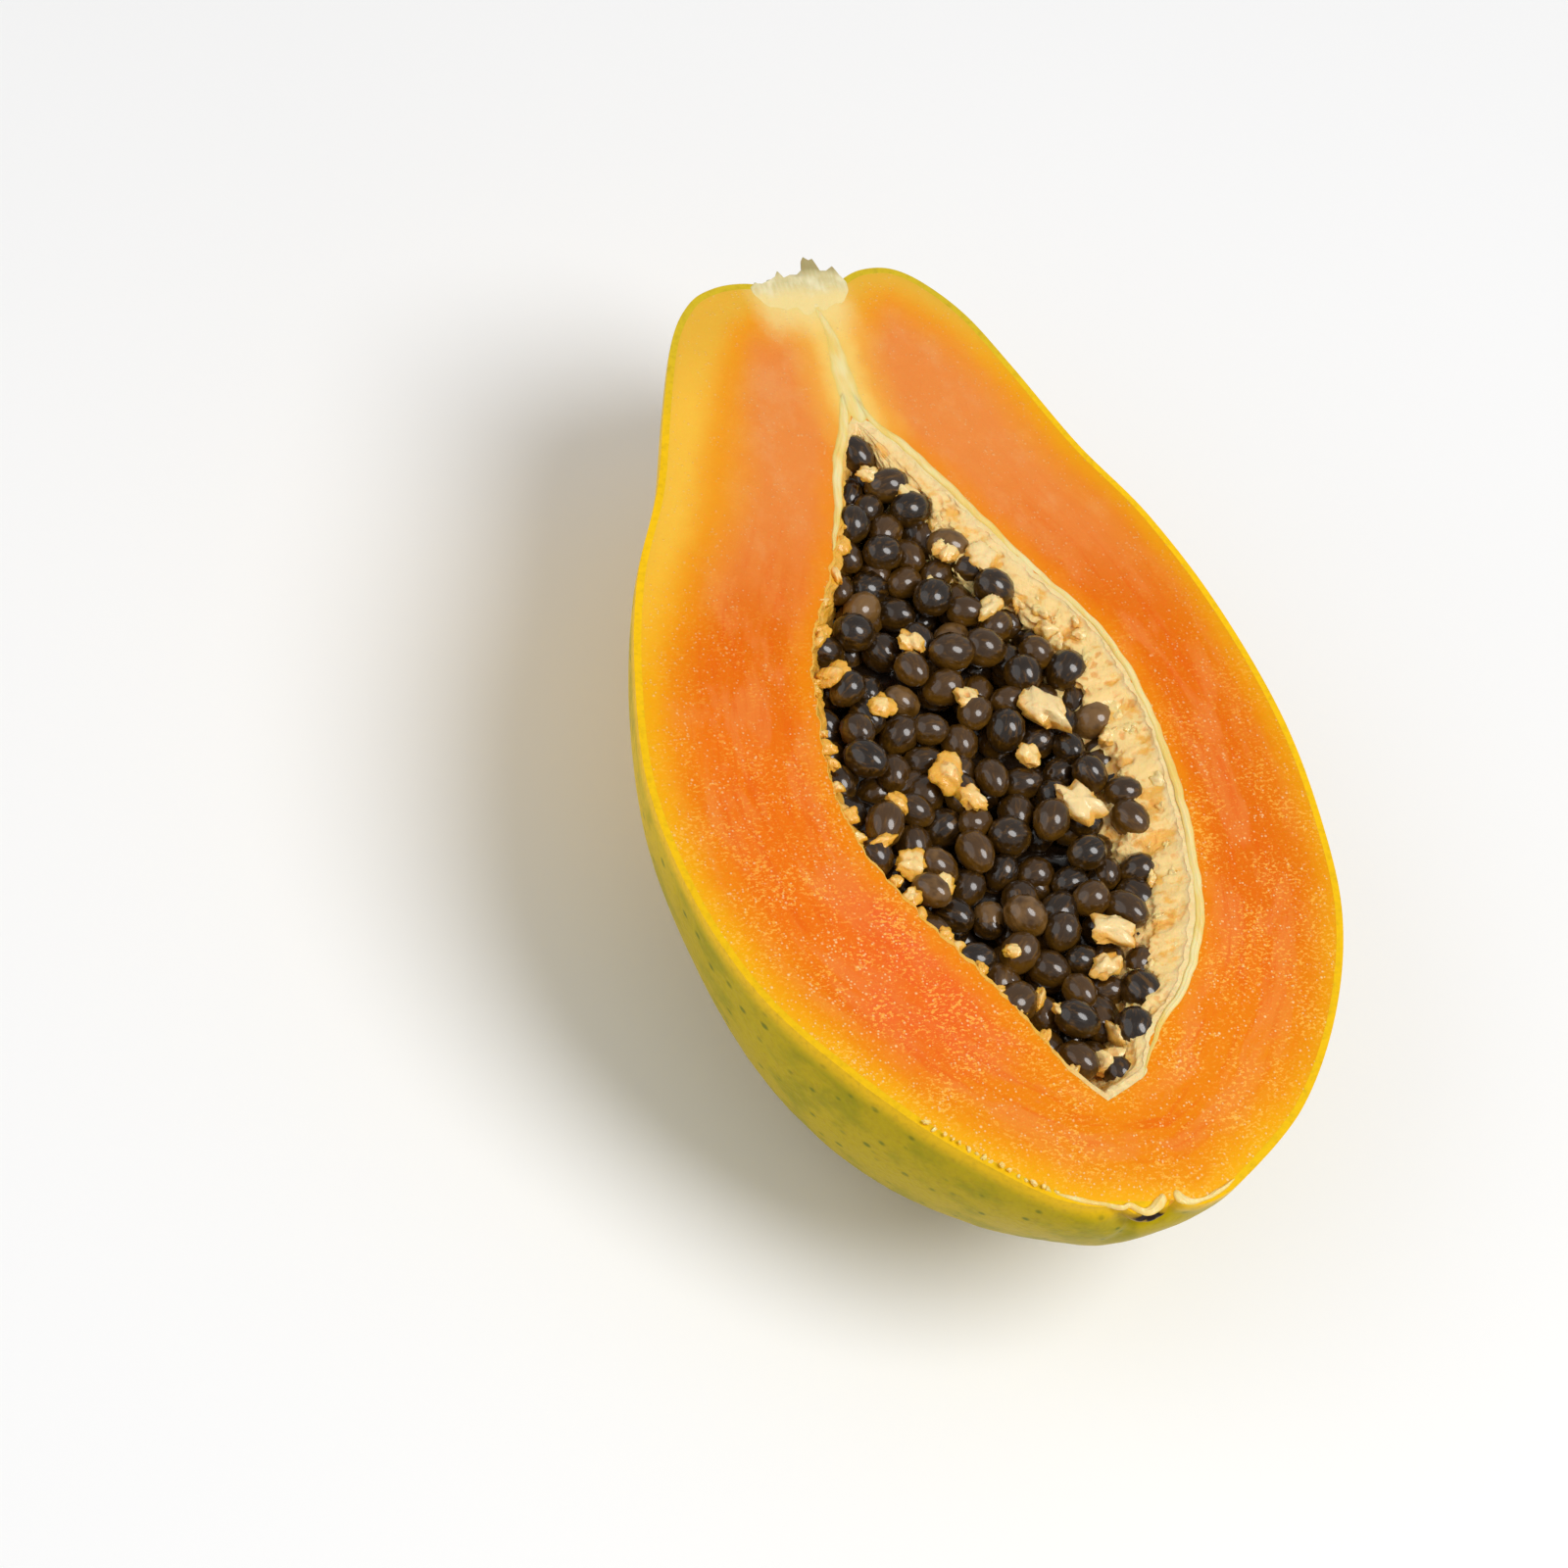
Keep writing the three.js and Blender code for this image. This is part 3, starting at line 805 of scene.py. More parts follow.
def pith_thickness(angles, along):
    """Thin at the cut, 6 to 7 mm a little way down on the right, 2 mm on the left, 3 mm below.

    Each side grows by soft steps with the depth, sways along the cavity, and thins at both tips.
    """
    depth = np.sin(angles)
    right = 1.0 + 4.6 * ease(depth, 0.0, 0.11) + 1.8 * ease(depth, 0.11, 0.3)
    left = 0.15 + 1.7 * ease(depth, 0.02, 0.15)
    side = np.where(np.cos(angles) > 0, right, left)
    lean = 1 + 0.35 * np.sin(along / 6.3) * np.sin(along / 11 + 1)
    slim = (0.25 + 0.75 * ease(along, 30, 58)) * (0.12 + 0.88 * ease(CAVITY_END - along, 0, 26))
    return (side + (3.0 - side) * ease(depth, 0.5, 1)) * lean * slim


CROWDING = 0.85
half_turn = np.linspace(0, 1, 161)
inward = math.pi * (half_turn - CROWDING * np.sin(2 * math.pi * half_turn) / (2 * math.pi))
out, along = cavity_body(lining_shares, outside[::-5], LINING_GAP)
outer_lining = in_frame(*around(out, along, outside[::-5]))
out, along = cavity_body(lining_shares, inward, LINING_GAP)
travel = inward * MEAN_RADIUS
lumps = 0.8 * ripples(travel, along, 5.2, 8) + 0.5 * np.abs(ripples(travel, along, 2.6, 9))
pits = ease(ripples(travel, along, 2.1, 14), 0.35, 0.95)
lumps = (lumps + 0.22 * ripples(travel, along, 1.2, 10) - 0.55 * pits) * ease(out, 5, 18)
lumps = lumps * np.where(np.cos(inward) > 0, 1.0, 0.45)
thick = pith_thickness(inward, along) + lumps * ease(np.sin(inward), 0.0, 0.05)
thick = np.maximum(thick, LEAST_PITH)
out = np.maximum(out - thick * np.minimum(1, out / (2 * thick)), 0)
shortened = CAVITY_MIDDLE + (along - CAVITY_MIDDLE) * 0.98
inner_lining = in_frame(*around(out, shortened, inward))
lining_loops = np.concatenate([outer_lining, inner_lining], axis=1)
lump = np.concatenate([np.zeros(outer_lining.shape[:2]), lumps], axis=1)
lining = make_piece("pith_lining", [(lining_loops, True, {"lump": lump})], ["placenta"])

# %% [markdown]
# # How the pith looks
# Pith is moist and cream where it stands high and golden where it is thin and lets the flesh
# shine through. Deep down it is painted brown, partly for the juice and partly as painted shade.
# The height of the lumps is kept with the mesh, so the same number that shapes a lump also
# colours it.

# %% Pith finish
NET_SIZE = 1.9
pith_finish = Finish(
    "moist cream pith", "fad488",
    Subsurface_Weight=0.25, Subsurface_Scale=0.0015, Coat_Weight=0.6, Coat_Roughness=0.12,
)
pith_height = surface_axis(pith_finish, UPWARD)
pith_soft = clouds(pith_finish, 4.5, detail=3)
pith_fine = clouds(pith_finish, 0.8, detail=4, roughness=0.65)
pith_patch = clouds(pith_finish, 2.6, detail=4, roughness=0.6)
pith_lump = kept_number(pith_finish, "lump")
net_values = {"Vector": surface_places(pith_finish), "Scale": 1 / NET_SIZE}
net = pith_finish.node("ShaderNodeTexVoronoi", {"feature": "DISTANCE_TO_EDGE"}, net_values)
pith_pits = (net + pith_fine * 0.12).mask(0.16, 0.34) * pith_soft.mask(0.46, 0.62)
pith_finish.paint("f2ae34", (pith_patch - pith_lump * 0.25).mask(0.44, 0.64) * 0.85)
pith_finish.paint("e59428", pith_pits * 0.7)
right_side = surface_axis(pith_finish, ACROSS).mask(-6.0, 2.0)
pith_finish.paint("f0ac22", pith_lump.mask(0.9, 0.3) * (0.85 - right_side * 0.85))
pith_finish.paint("f7dca0", pith_height.mask(49.2, 49.9) * right_side * 0.7)
# Painted shade, partly juice: the pith turns brown deep in the cavity.
pith_finish.paint("bb7426", pith_height.mask(45.5, 41.0) * (0.35 + right_side * 0.35))
pith_finish.show(
    Roughness=0.34 + pith_soft * 0.3,
    Normal=relief(pith_finish, pith_fine * 0.7 + pith_patch - pith_pits * 0.4, 0.3),
)
pith_finish.coat(lining)

# %% [markdown]
# # Where the seeds lie
# The seeds lie in the cavity like marbles in a bowl, close together but never in rows. They start
# spread evenly by two steps that never fall into a pattern. A random draw for the places would
# leave bare spots and clumps, so only the height, size and turn of each seed are left to chance.

# %% Seed places
EVEN_STEP = (0.7548776662, 0.5698402910)
CHANCE_STEP = 16807
CHANCE_PRIME = 2147483647
BED_START = 35
BED_END = 157
BED_REACH = 32
LAYER_DEPTH = 3
HEAP_TOP = -2.7


def chance_stream(draw):
    """Numbers from 0 to 1: each is the last whole number times a step, within a large prime."""
    state = draw
    while True:
        state = (state * CHANCE_STEP) % CHANCE_PRIME
        yield state / CHANCE_PRIME


def heap_top(across):
    """The height of the topmost seeds' middles, which falls 1 mm towards the right wall."""
    return HEAP_TOP - 1.0 * ease(across, 6, 26)


def seed_rows(count, draw):
    """Across, along, height, size, turn and lean of each seed, spread evenly over the cavity."""
    chance = chance_stream(draw)
    rows, step = [], 0
    while len(rows) < count:
        step += 1
        along = BED_START + (BED_END - BED_START) * (step * EVEN_STEP[0] % 1)
        across = 2 * BED_REACH * (step * EVEN_STEP[1] % 1) - BED_REACH
        height = HEAP_TOP - LAYER_DEPTH * next(chance)
        size = 0.86 + 0.24 * next(chance)
        turn = math.pi * next(chance)
        lean = 1.2 * (next(chance) - 0.5)
        if -cavity_reach("left", along) < across < cavity_reach("right", along):
            rows.append([across, along, height, size, turn, lean])
    return np.array(rows)


print("a first seed:", seed_rows(1, 11)[0].round(2).tolist())

# %% [markdown]
# # Room for every seed
# Evenly spread places still let large seeds overlap. So in each round every seed that is too
# near to another moves away by a part of what the gap lacks, and goes back inside the walls. A
# physics run could drop them in, but it takes longer and is hard to repeat. A second layer lies
# deeper, so that no bare floor shows in the gaps.

# %% Settled seeds
SEED_SPACING = 5.9
LEFT_MARGIN = 3.1


def settle(seeds, margin_right, rounds=60):
    """Seeds nearer than the spacing push apart by 0.45 of what they lack, and stay in the bed.

    The margin to the right wall thins at the lower tip, where the pith is thin too.
    """
    places = seeds[:, :3]
    spacing = SEED_SPACING * (seeds[:, None, 3] + seeds[None, :, 3]) / 2
    for _ in range(rounds):
        away = places[:, None] - places[None]
        distance = np.linalg.norm(away, axis=-1) + np.eye(len(seeds))
        lack = np.maximum(spacing - distance, 0) * (1 - np.eye(len(seeds)))
        places += (0.45 * (lack / distance)[..., None] * away).sum(axis=1)
        places[:, 1] = np.clip(places[:, 1], BED_START, BED_END)
        left = np.minimum(LEFT_MARGIN - cavity_reach("left", places[:, 1]), 0)
        margin = margin_right * (1 - 0.6 * ease(places[:, 1], 134, 152))
        right = np.maximum(cavity_reach("right", places[:, 1]) - margin, 0)
        places[:, 0] = np.clip(places[:, 0], left, right)
        top = heap_top(places[:, 0])
        places[:, 2] = np.clip(places[:, 2], top - LAYER_DEPTH, top)
    return seeds


LOWER_DROP = 3.6
top_seeds = settle(seed_rows(132, 11), 7.4)
lower_seeds = settle(seed_rows(110, 23), 7.8)
lower_seeds[:, 2] -= LOWER_DROP
top_seeds[:, 2] += np.random.default_rng(19).uniform(-1.2, 0.7, len(top_seeds))
print("seeds:", len(top_seeds), "on top and", len(lower_seeds), "below")

# %% [markdown]
# # The seeds
# A seed is a plump egg in a clear, wet coat. One egg is worked out on a small grid, with only
# a few dozen faces because it is repeated more than two hundred times, and copied to every
# place as whole arrays. A lumpy bed of the same dark pulp closes the gaps below.

# %% Seeds
TOP_FACES = (7, 12)
LOWER_FACES = (6, 10)
SEED_HALF_LENGTH = 3.65
SEED_HALF_WIDTH = 3.02
OWN_GAP = 9


def egg_sheets(seeds, shape_draw, rings, sides):
    """One egg for each seed: long axis across, leaned, turned, and moved to its place.

    The half-width at a share s of the length is sin(pi s), a little fuller at one end. The
    places on the unturned egg and the share down its flank are kept for the colours.
    """
    chance = np.random.default_rng(shape_draw)
    each = (len(seeds), 1, 1)
    polar = np.linspace(0, math.pi, rings)[:, None]
    side = np.linspace(0, 2 * math.pi, sides, endpoint=False)[None, :]
    size = seeds[:, 3].reshape(each)
    plump = chance.uniform(0.94, 1.07, each)
    length = np.cos(polar) * SEED_HALF_LENGTH * size * chance.uniform(0.92, 1.06, each)
    width = np.sin(polar) * (1 + 0.09 * np.cos(polar)) * SEED_HALF_WIDTH * size * plump
    x, y, z = np.broadcast_arrays(length, width * np.cos(side), width * np.sin(side))
    own_length, own_width, own_depth = x + np.arange(len(seeds)).reshape(each) * OWN_GAP, y, z
    turn, lean = seeds[:, 4].reshape(each), seeds[:, 5].reshape(each)
    x, z = x * np.cos(lean) + z * np.sin(lean), z * np.cos(lean) - x * np.sin(lean)
    x, y = x * np.cos(turn) - y * np.sin(turn), x * np.sin(turn) + y * np.cos(turn)
    middle = seeds[:, :3, None, None]
    grids = in_frame(middle[:, 0] + x, middle[:, 1] - y, middle[:, 2] + z)
    tone = np.broadcast_to(chance.uniform(0, 1, each), x.shape)
    numbers = {
        "tone": tone, "flank": 1 - z / (SEED_HALF_WIDTH * size),
        "own_length": own_length, "own_width": own_width, "own_depth": own_depth,
    }
    return [
        (grid, True, {label: values[row] for label, values in numbers.items()})
        for row, grid in enumerate(grids)
    ]


BED_DEPTH = 5.6
seed_sheets = egg_sheets(top_seeds, 5, *TOP_FACES) + egg_sheets(lower_seeds, 6, *LOWER_FACES)
bed_along = np.linspace(31, 159, 90)[:, None]
bed_side = np.linspace(0, 1, 30)[None, :]
bed_left = -np.maximum(cavity_reach("left", bed_along) - 1.0, 0)
bed_right = np.maximum(cavity_reach("right", bed_along) - 3.5, 0)
bed_across = bed_left + (bed_right - bed_left) * bed_side
bed_lump = 0.7 * ripples(bed_across, bed_along, 6, 12)
bed_height = heap_top(bed_across) - BED_DEPTH + bed_lump
bed_top = in_frame(bed_across, bed_along, bed_height)
bed_under = in_frame(bed_across, bed_along, bed_height - 2 * np.sin(math.pi * bed_side))[:, ::-1]
bed = np.concatenate([bed_top, bed_under[:, 1:-1]], axis=1)
bed[[0, -1]] = bed[[0, -1]].mean(axis=1, keepdims=True)
bed_numbers = {"tone": -1.0, "flank": 0.5, "own_length": 0.0, "own_width": 0.0, "own_depth": 0.0}
spread = {label: np.full(bed.shape[:2], number) for label, number in bed_numbers.items()}
seed_sheets.append((bed, True, spread))
seed_heap = make_piece("seed_heap", seed_sheets, ["seeds"])

# %% [markdown]
# # How the seeds look
# The seeds are nearly black, with a brown grain that runs along each one, and their clear coat
# is painted golden brown round the flank, where it is seen edge on: partly the coat's own colour,
# partly a painted glow of light through the coat. The wet shine is a second, sharper layer of
# gloss on top. Each seed keeps a tone of its own, so that no two look alike.

# %% Seed finish
GRAIN_SIZE = 0.7
seed_finish = Finish(
    "wet seed coat", "1c1004",
    Coat_Weight=1.0, Coat_Roughness=0.13, Coat_IOR=1.55, Specular_IOR_Level=0.12,
)
tone = kept_number(seed_finish, "tone")
flank = kept_number(seed_finish, "flank")
own_places = {
    0: kept_number(seed_finish, "own_length") * 0.22,
    1: kept_number(seed_finish, "own_width"),
    2: kept_number(seed_finish, "own_depth"),
}
own_vector = seed_finish.node("ShaderNodeCombineXYZ", {}, own_places)
grain_values = {"Vector": own_vector, "Scale": 1 / GRAIN_SIZE, "Detail": 3.0, "Roughness": 0.6}
grain = seed_finish.node("ShaderNodeTexNoise", {}, grain_values)
seed_soft = clouds(seed_finish, 2.2, detail=3)
seed_finish.paint("4c3008", (tone + seed_soft * 0.5).mask(0.3, 1.3))
seed_finish.paint("6c4810", grain.mask(0.5, 0.7) * 0.6)
# Painted glow: golden brown on each seed's lower flank, partly the coat's colour and partly painted
# light through the clear coat.
clear_edge_glow = (flank + seed_soft * 0.5 + grain * 0.3).mask(0.7, 1.5)
seed_finish.paint("8c6018", clear_edge_glow * (0.25 + tone * 0.5))
seed_finish.paint("8a6638", (tone + seed_soft * 0.2).mask(1.02, 1.1) * 0.6)
seed_finish.show(
    Roughness=0.3 + seed_soft * 0.25,
    Normal=relief(seed_finish, seed_soft + grain, 0.2),
)
seed_finish.coat(seed_heap)

# %% [markdown]
# # Scraps of pulp
# When the fruit is cut, bits of the pith tear off and stay between the seeds. Each scrap is a
# flattened ball with a ragged surface. Lumps could be sculpted one by one, but a ball whose
# radius ripples in three directions gives as many different scraps as are asked for.

# %% Scrap shapes
SCRAP_RINGS = 16
SCRAP_SIDES = 24
SCRAP_TOP = 0.9


def scrap_sheets(scraps, height, draw, flat=0.42, tone=0.0):
    """Flattened balls. The radius is 1 plus ripples over the ball, times each scrap's size.

    The "lump" number is high on top, where a scrap is cream, and low at its thin golden edge.
    """
    chance = np.random.default_rng(draw)
    polar = np.linspace(0, math.pi, SCRAP_RINGS)[:, None]
    side = np.linspace(0, 2 * math.pi, SCRAP_SIDES, endpoint=False)[None, :]
    round_x, round_y = np.sin(polar) * np.cos(side), np.sin(polar) * np.sin(side)
    round_z = np.broadcast_to(np.cos(polar), round_x.shape)
    sheets = []
    for across, along, size in scraps:
        turn, slim = chance.uniform(0, math.pi), chance.uniform(0.45, 0.85)
        draw = chance.integers(1e6)
        ragged = 1.1 + 0.32 * ripples(round_x * 2 + round_z, round_y * 2, 2.1, draw)
        ragged = ragged + 0.13 * ripples(round_x * 2 - round_z, round_y * 2 + round_z, 1.0, draw + 1)
        x, y, z = round_x * ragged * size, round_y * ragged * size * slim, round_z * ragged * size * flat
        x, y = x * math.cos(turn) - y * math.sin(turn), x * math.sin(turn) + y * math.cos(turn)
        drop = height + chance.uniform(-0.5, 0.4)
        lump = 2.6 * round_z - 1.5 - tone + 0.6 * chance.uniform(-1, 1)
        ball = in_frame(across + x, along + y, np.minimum(drop + z, SCRAP_TOP))
        sheets.append((ball, True, {"lump": lump}))
    return sheets


print("faces of one scrap:", (SCRAP_RINGS - 1) * SCRAP_SIDES)

# %% [markdown]
# # Where the scraps lie
# The large scraps have places of their own in a list, where the tears are seen first. Rows of
# smaller ones, placed by a rule, break up the straight edges between the seeds, the pith and the
# flesh, and make the band of pith on the right crumbly.

# %% Pulp scraps
SCRAPS = [
    (-0.6, 40.2, 1.6), (5, 44.8, 2.4), (8.3, 56.2, 2.6), (13.6, 58.7, 2.8), (12, 68.5, 2.6),
    (-3.6, 73.9, 2.2), (-18.8, 79.1, 2.8), (-12.4, 85.5, 2.0), (2.7, 86.1, 2.4), (14.6, 89.3, 3.9),
    (-5.9, 99.5, 3.0), (-3.4, 104.4, 2.4), (14.3, 107.4, 3.6), (-15.8, 104, 1.9), (-20.4, 110.8, 2.2),
    (-13.5, 119.8, 2.2), (-4.2, 141.5, 1.8), (11.9, 131, 3.4), (9, 137, 2.6), (-5.3, 132.5, 1.6),
    (-15.3, 130.4, 1.8), (-1.1, 144.5, 1.9), (-16.8, 114.9, 2.4), (9.2, 97.3, 2.2), (3.2, 63.7, 1.7),
]


def row_along(draws, start, end, count, sway):
    """Places along the fruit, evenly spaced and then moved by up to the sway."""
    return np.linspace(start, end, count) + draws.uniform(-sway, sway, count)


row_draws = np.random.default_rng(31)
edge_along = row_along(row_draws, 41, 152, 30, 1.4)
edge_across = cavity_reach("right", edge_along) - row_draws.uniform(3.6, 6.6, 30)
right_edge = list(zip(edge_across, edge_along, row_draws.uniform(1.3, 2.6, 30)))
left_along = row_along(row_draws, 46, 154, 24, 2)
left_across = row_draws.uniform(0.2, 1.6, 24) - cavity_reach("left", left_along)
left_edge = list(zip(left_across, left_along, row_draws.uniform(0.9, 1.7, 24)))
band_along = row_along(row_draws, 50, 150, 56, 1.5)
band_share = row_draws.uniform(0, 1, 56)
band_across = cavity_reach("right", band_along) - 1.6 - 3.4 * band_share
band_places = zip(band_across, band_along, row_draws.uniform(0.8, 1.7, 56))
band = [
    scrap_sheets([place], -1.1 - 2.6 * share, 60 + number, 0.6)[0]
    for number, (share, place) in enumerate(zip(band_share, band_places))
]
among = scrap_sheets(SCRAPS, -1.4, 41)
beside = scrap_sheets(right_edge, -3.4, 42, 0.7) + scrap_sheets(left_edge, -0.9, 43, 0.5, 0.4)
scraps = make_piece("pulp_scraps", among + beside + band)
pith_finish.coat(scraps)

# %% [markdown]
# # Low ridges
# Fibres are harder than flesh, so after the cut they stand up by a fraction of a millimetre. A
# painted line would have no edge that catches the light, so each one is a low ridge, a profile
# carried along a path of points. It sways a little, and its ends narrow to nothing.

# %% Ridges
STRAND_SIDES = 15


def strand(path, half_widths, crown, steps):
    """A low ridge along a path: above the cut face its height is the crown times 1 - s squared.

    s goes from -1 to 1 across the strand, and below the cut face it closes with a round floor.
    """
    shares = np.linspace(0, 1, steps)
    place, slope = outline_curve(path, shares)
    slope = unit(slope)
    ends = np.sqrt(np.clip(np.minimum(shares, 1 - shares) * 12, 0, 1))[:, None]
    width = np.interp(shares, np.linspace(0, 1, len(half_widths)), half_widths)[:, None] * ends
    s = np.linspace(-1, 1, STRAND_SIDES)[None, :]
    fibres = 1 + 0.2 * np.sin(7 * s + 3 * np.sin(shares[:, None] * 9))
    run = np.cumsum(np.linalg.norm(np.diff(place, axis=0, prepend=place[:1]), axis=1))[:, None]
    sway = 0.18 * ripples(run, 0 * run, 4.5, 15) * ends
    across = place[:, :1] - slope[:, 1:] * (s * width + sway)
    along = place[:, 1:] + slope[:, :1] * (s * width + sway)
    ground = face_height(across, along) - 0.04
    upper = in_frame(across, along, ground + crown * (1 - s ** 2) * fibres * ends)
    lower = in_frame(across, along, ground - 0.02 - 0.5 * np.sqrt(1 - s ** 2) * ends)[:, ::-1]
    loops = np.concatenate([upper, lower], axis=1)
    loops[[0, -1]] = loops[[0, -1]].mean(axis=1, keepdims=True)
    crest = np.concatenate([(1 - s ** 2) * ends, 0 * s * ends], axis=1)
    return loops, True, {"lump": crest}


def edge_path(side, start, end, aside, count):
    """A path beside the cavity's edge, a set distance outside it."""
    place, slope = outline_curve(CAVITY[side], np.linspace(0, 1, 400))
    slope = unit(slope)
    moved = place + aside * np.stack([slope[:, 1], -slope[:, 0]], axis=-1)
    along = np.linspace(start, end, count)
    across = np.interp(along, moved[:, 1], moved[:, 0])
    return np.stack([across if side == "right" else -across, along], axis=-1)


print("beside the cavity's edge:", edge_path("right", 60, 120, 0.35, 3).round(1).tolist())

# %% [markdown]
# # The core strand and the lips
# A pale strand of fibres runs from the stalk down to the cavity and goes on as a whitish line
# along its edges. At the blossom end the edge of the flesh curls into two pale lips, and tiny
# beads of juice stand on the rim beside them.

# %% Core strand
RIGHT_WIDTHS = [0.9, 0.8, 0.6, 0.7, 0.75, 0.8, 0.35]
right_line = np.concatenate([[(1.0, 24)], edge_path("right", 30.5, 158, 0.35, 26)])
left_line = np.concatenate([[(-0.6, 24)], edge_path("left", 32, 56, 0.3, 8)])
LEFT_LIP = [
    (-13.5, 175.2), (-11.6, 176.1), (-9.2, 177.2), (-6.8, 177.9), (-4.1, 178.8), (-2.8, 178.7),
    (-1.6, 179.6), (-0.3, 180.0), (1.4, 179.5), (2.6, 178.5), (2.9, 177.6),
]
RIGHT_LIP = [
    (5.3, 177.3), (5.5, 178.5), (6.4, 179.3), (7.9, 179.7), (10.2, 179.2), (12.3, 178.3), (15.5, 176.8),
]
strands = [
    strand(CORE_PATH[1:], [0.3, 0.9, 1.6, 2.1, 2.0, 1.3], 0.16, 90),
    strand(right_line, RIGHT_WIDTHS, 0.3, 300),
    strand(left_line, [0.9, 0.9, 0.7, 0.3], 0.28, 80),
    strand(LEFT_LIP, [0.2, 0.5, 0.25, 0.5, 0.6, 0.9, 0.6], 0.45, 160),
    strand(RIGHT_LIP, [0.6, 0.9, 0.6, 0.3, 0.45, 0.2], 0.45, 120),
]
bead_draws = np.random.default_rng(45)
bead_across = np.linspace(-30, -13.5, 17) + bead_draws.uniform(-0.4, 0.4, 17)
left_out, left_places = np.array(FRUIT["left"][13:18][::-1], float).T
bead_along = np.interp(-bead_across, left_out, left_places) - 0.9
rim_beads = list(zip(bead_across, bead_along, bead_draws.uniform(0.3, 0.62, 17)))
core = make_piece("core_strand", strands + scrap_sheets(rim_beads, 0.3, 44, 0.6))

# %% [markdown]
# # How the core looks
# The fibres of the core run along the fruit, so the pattern is stretched fourteen times that way.
# The edges of each ridge take the colour of the flesh beside it, or it would look like icing.

# %% Core finish
core_finish = Finish(
    "pale core fibres", "f6c862", Subsurface_Weight=0.3, Subsurface_Scale=0.002, Coat_Weight=0.3
)
core_fibre = clouds(core_finish, 0.7, (1, 14, 1), detail=3)
core_soft = clouds(core_finish, 5, (1, 2, 1), detail=2)
fibre_share = (core_fibre * 0.4 + core_soft * 0.8).mask(0.42, 0.76)
fibre_colour = core_finish.blend("f6cc6a", "fae0a0", fibre_share)
crest_share = (kept_number(core_finish, "lump") + core_soft * 0.6).mask(0.3, 1.2)
core_finish.paint(fibre_colour, crest_share)
core_finish.show(
    Roughness=0.4 + core_soft * 0.2,
    Normal=relief(core_finish, core_fibre, 0.12),
)
core_finish.coat(core)

# %% [markdown]
# # The stub of stalk
# The stalk was broken off, so its top is a comb of ragged teeth, and the knife went through it
# with the fruit. It is built as slices from left to right. Each slice is a closed loop that goes
# up the cut face, back over the ragged top and down behind, and both ends narrow to nothing.

# %% Stalk stub
STALK_EDGE = [
    (-9.9, 0.6), (-9.0, -0.1), (-7.8, 0.2), (-6.2, -0.6), (-5, -1.2), (-4.3, -2.4), (-3.5, -0.9),
    (-2.2, -1.5), (-1.0, -1.4), (0.2, -2.4), (0.7, -4.4), (1.2, -5.1), (2.0, -4.4), (2.8, -4.7),
    (3.5, -2.1), (4.6, -2.0), (5.9, -2.9), (6.6, -1.1), (7.2, -0.2), (7.6, 0.6),
]
STALK_SLICES = 150
BACK_STEPS = 44
STALK_DEPTH = 8.2
FOOT_REACH = 6.6
stalk_across = np.linspace(STALK_EDGE[0][0], STALK_EDGE[-1][0], STALK_SLICES)[:, None]
edge_points = np.array(STALK_EDGE)
stalk_top = np.interp(stalk_across, edge_points[:, 0], edge_points[:, 1])
half_span = (edge_points[-1, 0] - edge_points[0, 0]) / 2
from_middle = (stalk_across - edge_points[0, 0]) / half_span - 1
bulge = np.sqrt(np.clip(1 - from_middle ** 2, 0, 1))
backward = np.linspace(0, 1, BACK_STEPS)[None, :]
foot = FOOT_REACH * bulge + 1.0
front = np.linspace(1, 0, 20)[None, :]
front_along = stalk_top + (foot - stalk_top) * front
sunk = np.maximum(face_height(stalk_across, front_along), 0.05) + 0.2 - 0.36 * front ** 3
front_height = sunk + 0.07 * ripples(stalk_across, front_along * 0.4, 2.6, 18)
front_height = front_height * np.minimum(1, bulge * 2)
stalk_height = front_height[:, -1:] - STALK_DEPTH * bulge * backward
teeth = 1.5 * np.abs(ripples(stalk_across, stalk_height, 4.2, 16))
teeth = teeth + 0.4 * ripples(stalk_across, stalk_height, 1.3, 17)
behind = 0.4 - teeth - 0.6 * bulge
ragged_top = stalk_top + (behind - stalk_top) * ease(backward * bulge, 0.04, 0.25)
face_sheet = in_frame(stalk_across, front_along, front_height)
top_sheet = in_frame(stalk_across, ragged_top, stalk_height)
down = np.linspace(0, 1, 12)[None, 1:]
down_along = ragged_top[:, -1:] + (foot - ragged_top[:, -1:]) * down
back_sheet = in_frame(stalk_across, down_along, stalk_height[:, -1:] * (1 - 0.25 * down))
stalk_loops = np.concatenate([face_sheet, top_sheet[:, 1:], back_sheet], axis=1)
stalk_loops[[0, -1]] = stalk_loops[[0, -1]].mean(axis=1, keepdims=True)
stalk = make_piece("stalk_stub", [(stalk_loops, True, {})], ["stalk"])

# %% [markdown]
# # How the stub looks
# The broken wood is pale straw, brown at the tips of the teeth where it has dried. At its foot it
# grows into the core, so it takes the core's colour there.

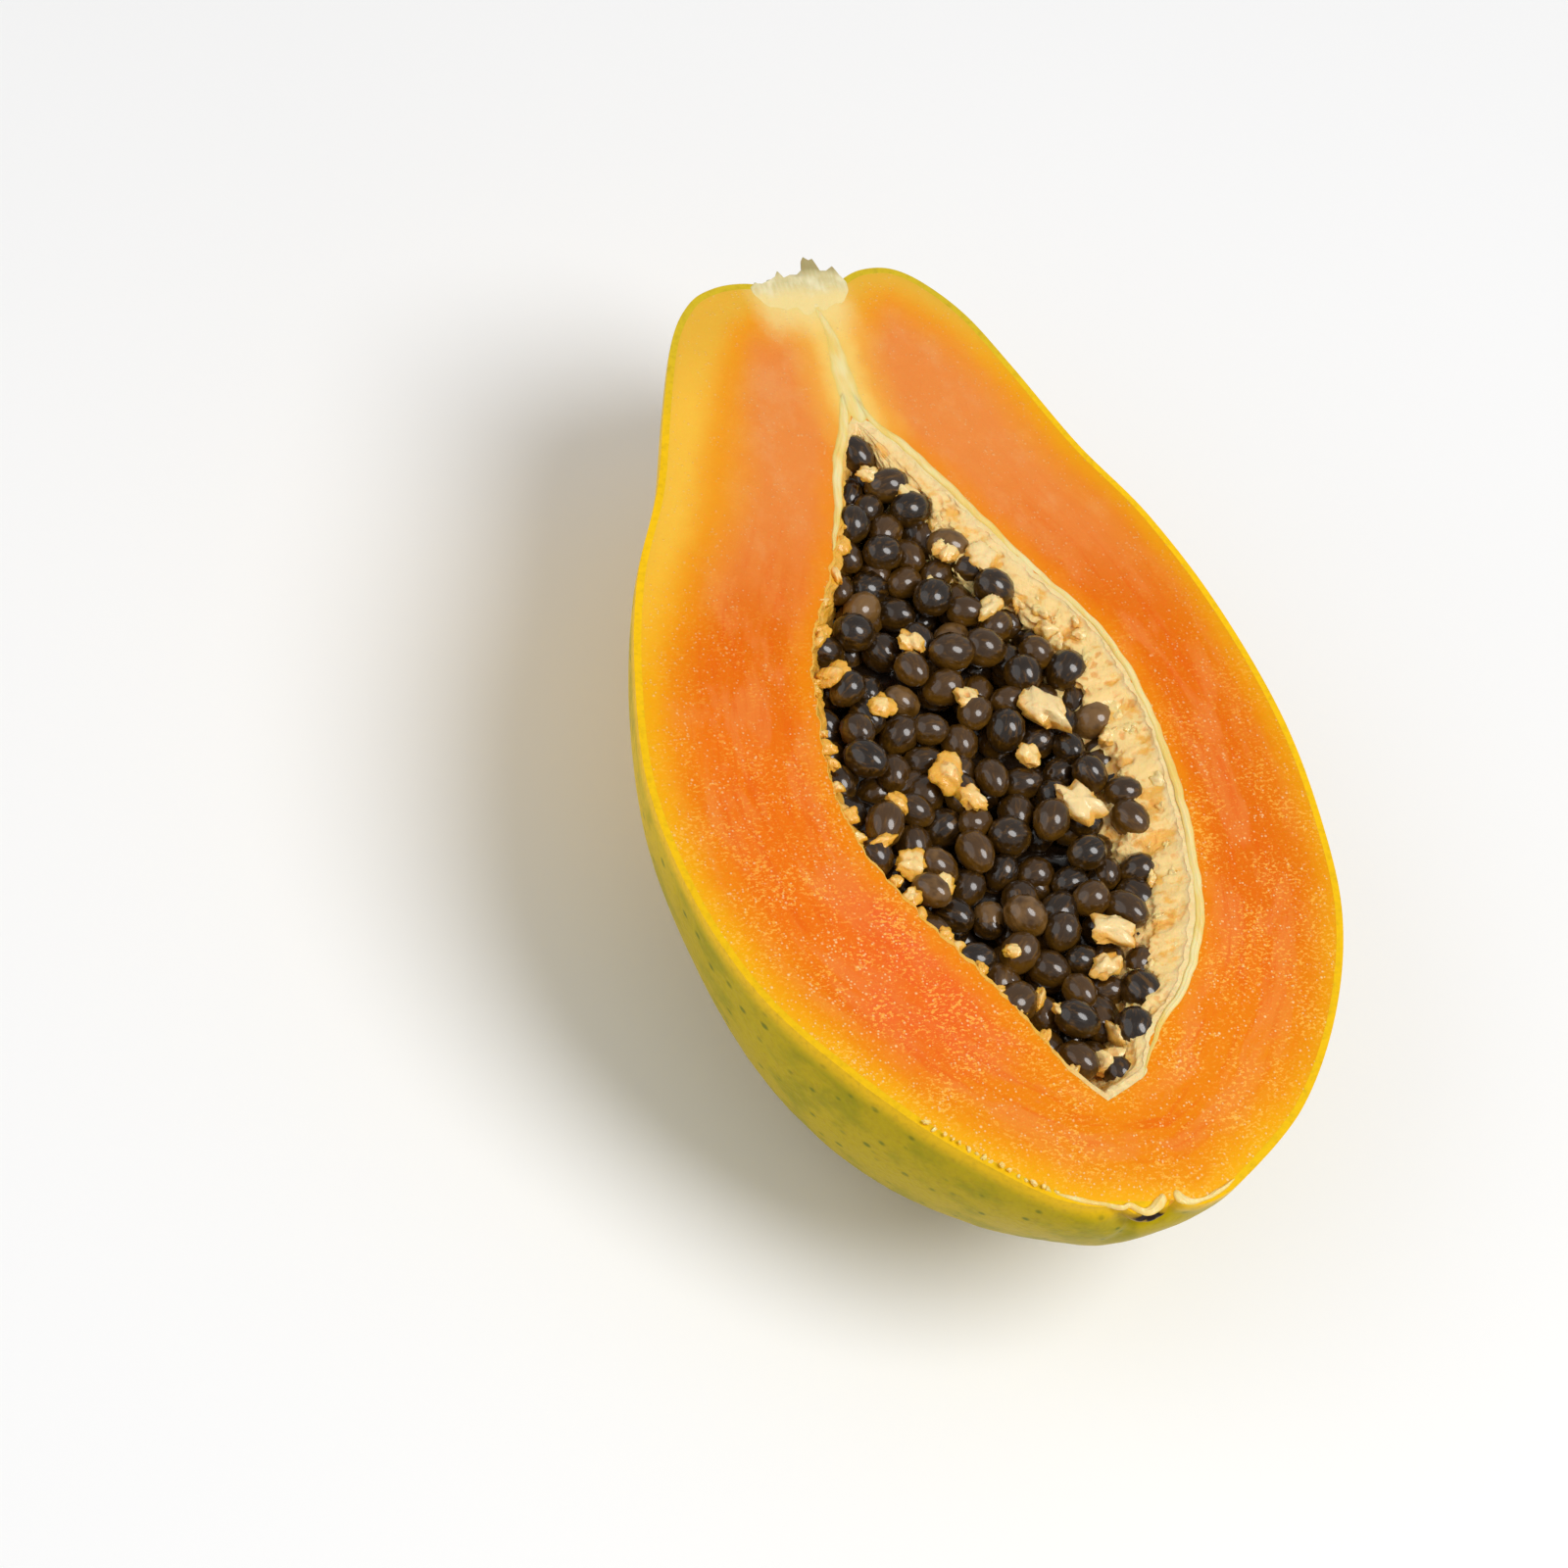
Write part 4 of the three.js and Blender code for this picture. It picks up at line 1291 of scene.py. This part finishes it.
# %% Stalk finish
stalk_finish = Finish(
    "broken stalk wood", "d3c58c", Roughness=0.6, Subsurface_Weight=0.08, Subsurface_Scale=0.002
)
stalk_fibre = clouds(stalk_finish, 0.7, (1, 5, 1), detail=4)
bark = clouds(stalk_finish, 2.6, detail=3)
stalk_reach = surface_axis(stalk_finish, STALKWARD)
stalk_finish.paint("ece0b4", (stalk_fibre * 0.5 + bark * 0.6).mask(0.4, 0.7))
stalk_finish.paint("f2d88e", (stalk_reach + bark * 3.0).mask(89.8, 85.8) * 0.95)
stalk_finish.paint("8c7a35", (stalk_reach + bark * 3.4).mask(90.4, 93.2) * 0.75)
stalk_finish.show(Normal=relief(stalk_finish, stalk_fibre * 0.6 + bark, 0.3))
stalk_finish.coat(stalk)

# %% [markdown]
# # Floor and light
# A studio shot of fruit has a white floor and very soft light. An oval lamp stands above and a
# little in front, because an oval gives the wet seeds round highlights. A wide, weak lamp from
# the left and a bright even surround fill the shadows.

# %% Floor and light
floor_mesh = bpy.data.meshes.new("floor")
FLOOR_REACH = 4.0
corners = [(-1, -1), (1, -1), (1, 1), (-1, 1)]
floor_places = [(FLOOR_REACH * x, FLOOR_REACH * y, 0) for x, y in corners]
floor_mesh.from_pydata(floor_places, [], [(0, 1, 2, 3)])
floor = bpy.data.objects.new("floor", floor_mesh)
bpy.context.collection.objects.link(floor)
floor_finish = Finish("pale studio floor", "f4f4f4", Roughness=0.85, Specular_IOR_Level=0.2)
floor_finish.paint("fafafa", clouds(floor_finish, 300))
floor_finish.show()
floor_finish.coat(floor)

world = bpy.data.worlds.new("studio")
world.use_nodes = True
surround = world.node_tree.nodes["Background"].inputs
surround["Color"].default_value = (1, 1, 1, 1)
surround["Strength"].default_value = 0.42
bpy.context.scene.world = world


def soft_lamp(name, towards, distance, width, height, watts):
    """A flat oval lamp in a direction from the fruit, facing it."""
    lamp = bpy.data.lights.new(name, "AREA")
    lamp.shape = "ELLIPSE"
    lamp.size = width
    lamp.size_y = height
    lamp.energy = watts
    holder = bpy.data.objects.new(name, lamp)
    place = np.array(towards) / np.linalg.norm(towards) * distance
    holder.location = place.tolist()
    holder.rotation_euler = holder.location.to_track_quat("Z", "Y").to_euler()
    bpy.context.collection.objects.link(holder)
    print(f"{name}: {watts} W at {distance} m")


soft_lamp("key_lamp", (0.34, -0.36, 0.87), 1.5, 0.75, 1.1, 15.0)
soft_lamp("fill_lamp", (-0.92, 0.1, 0.38), 1.2, 1.8, 1.8, 5.6)
bpy.context.scene.view_settings.view_transform = "Standard"
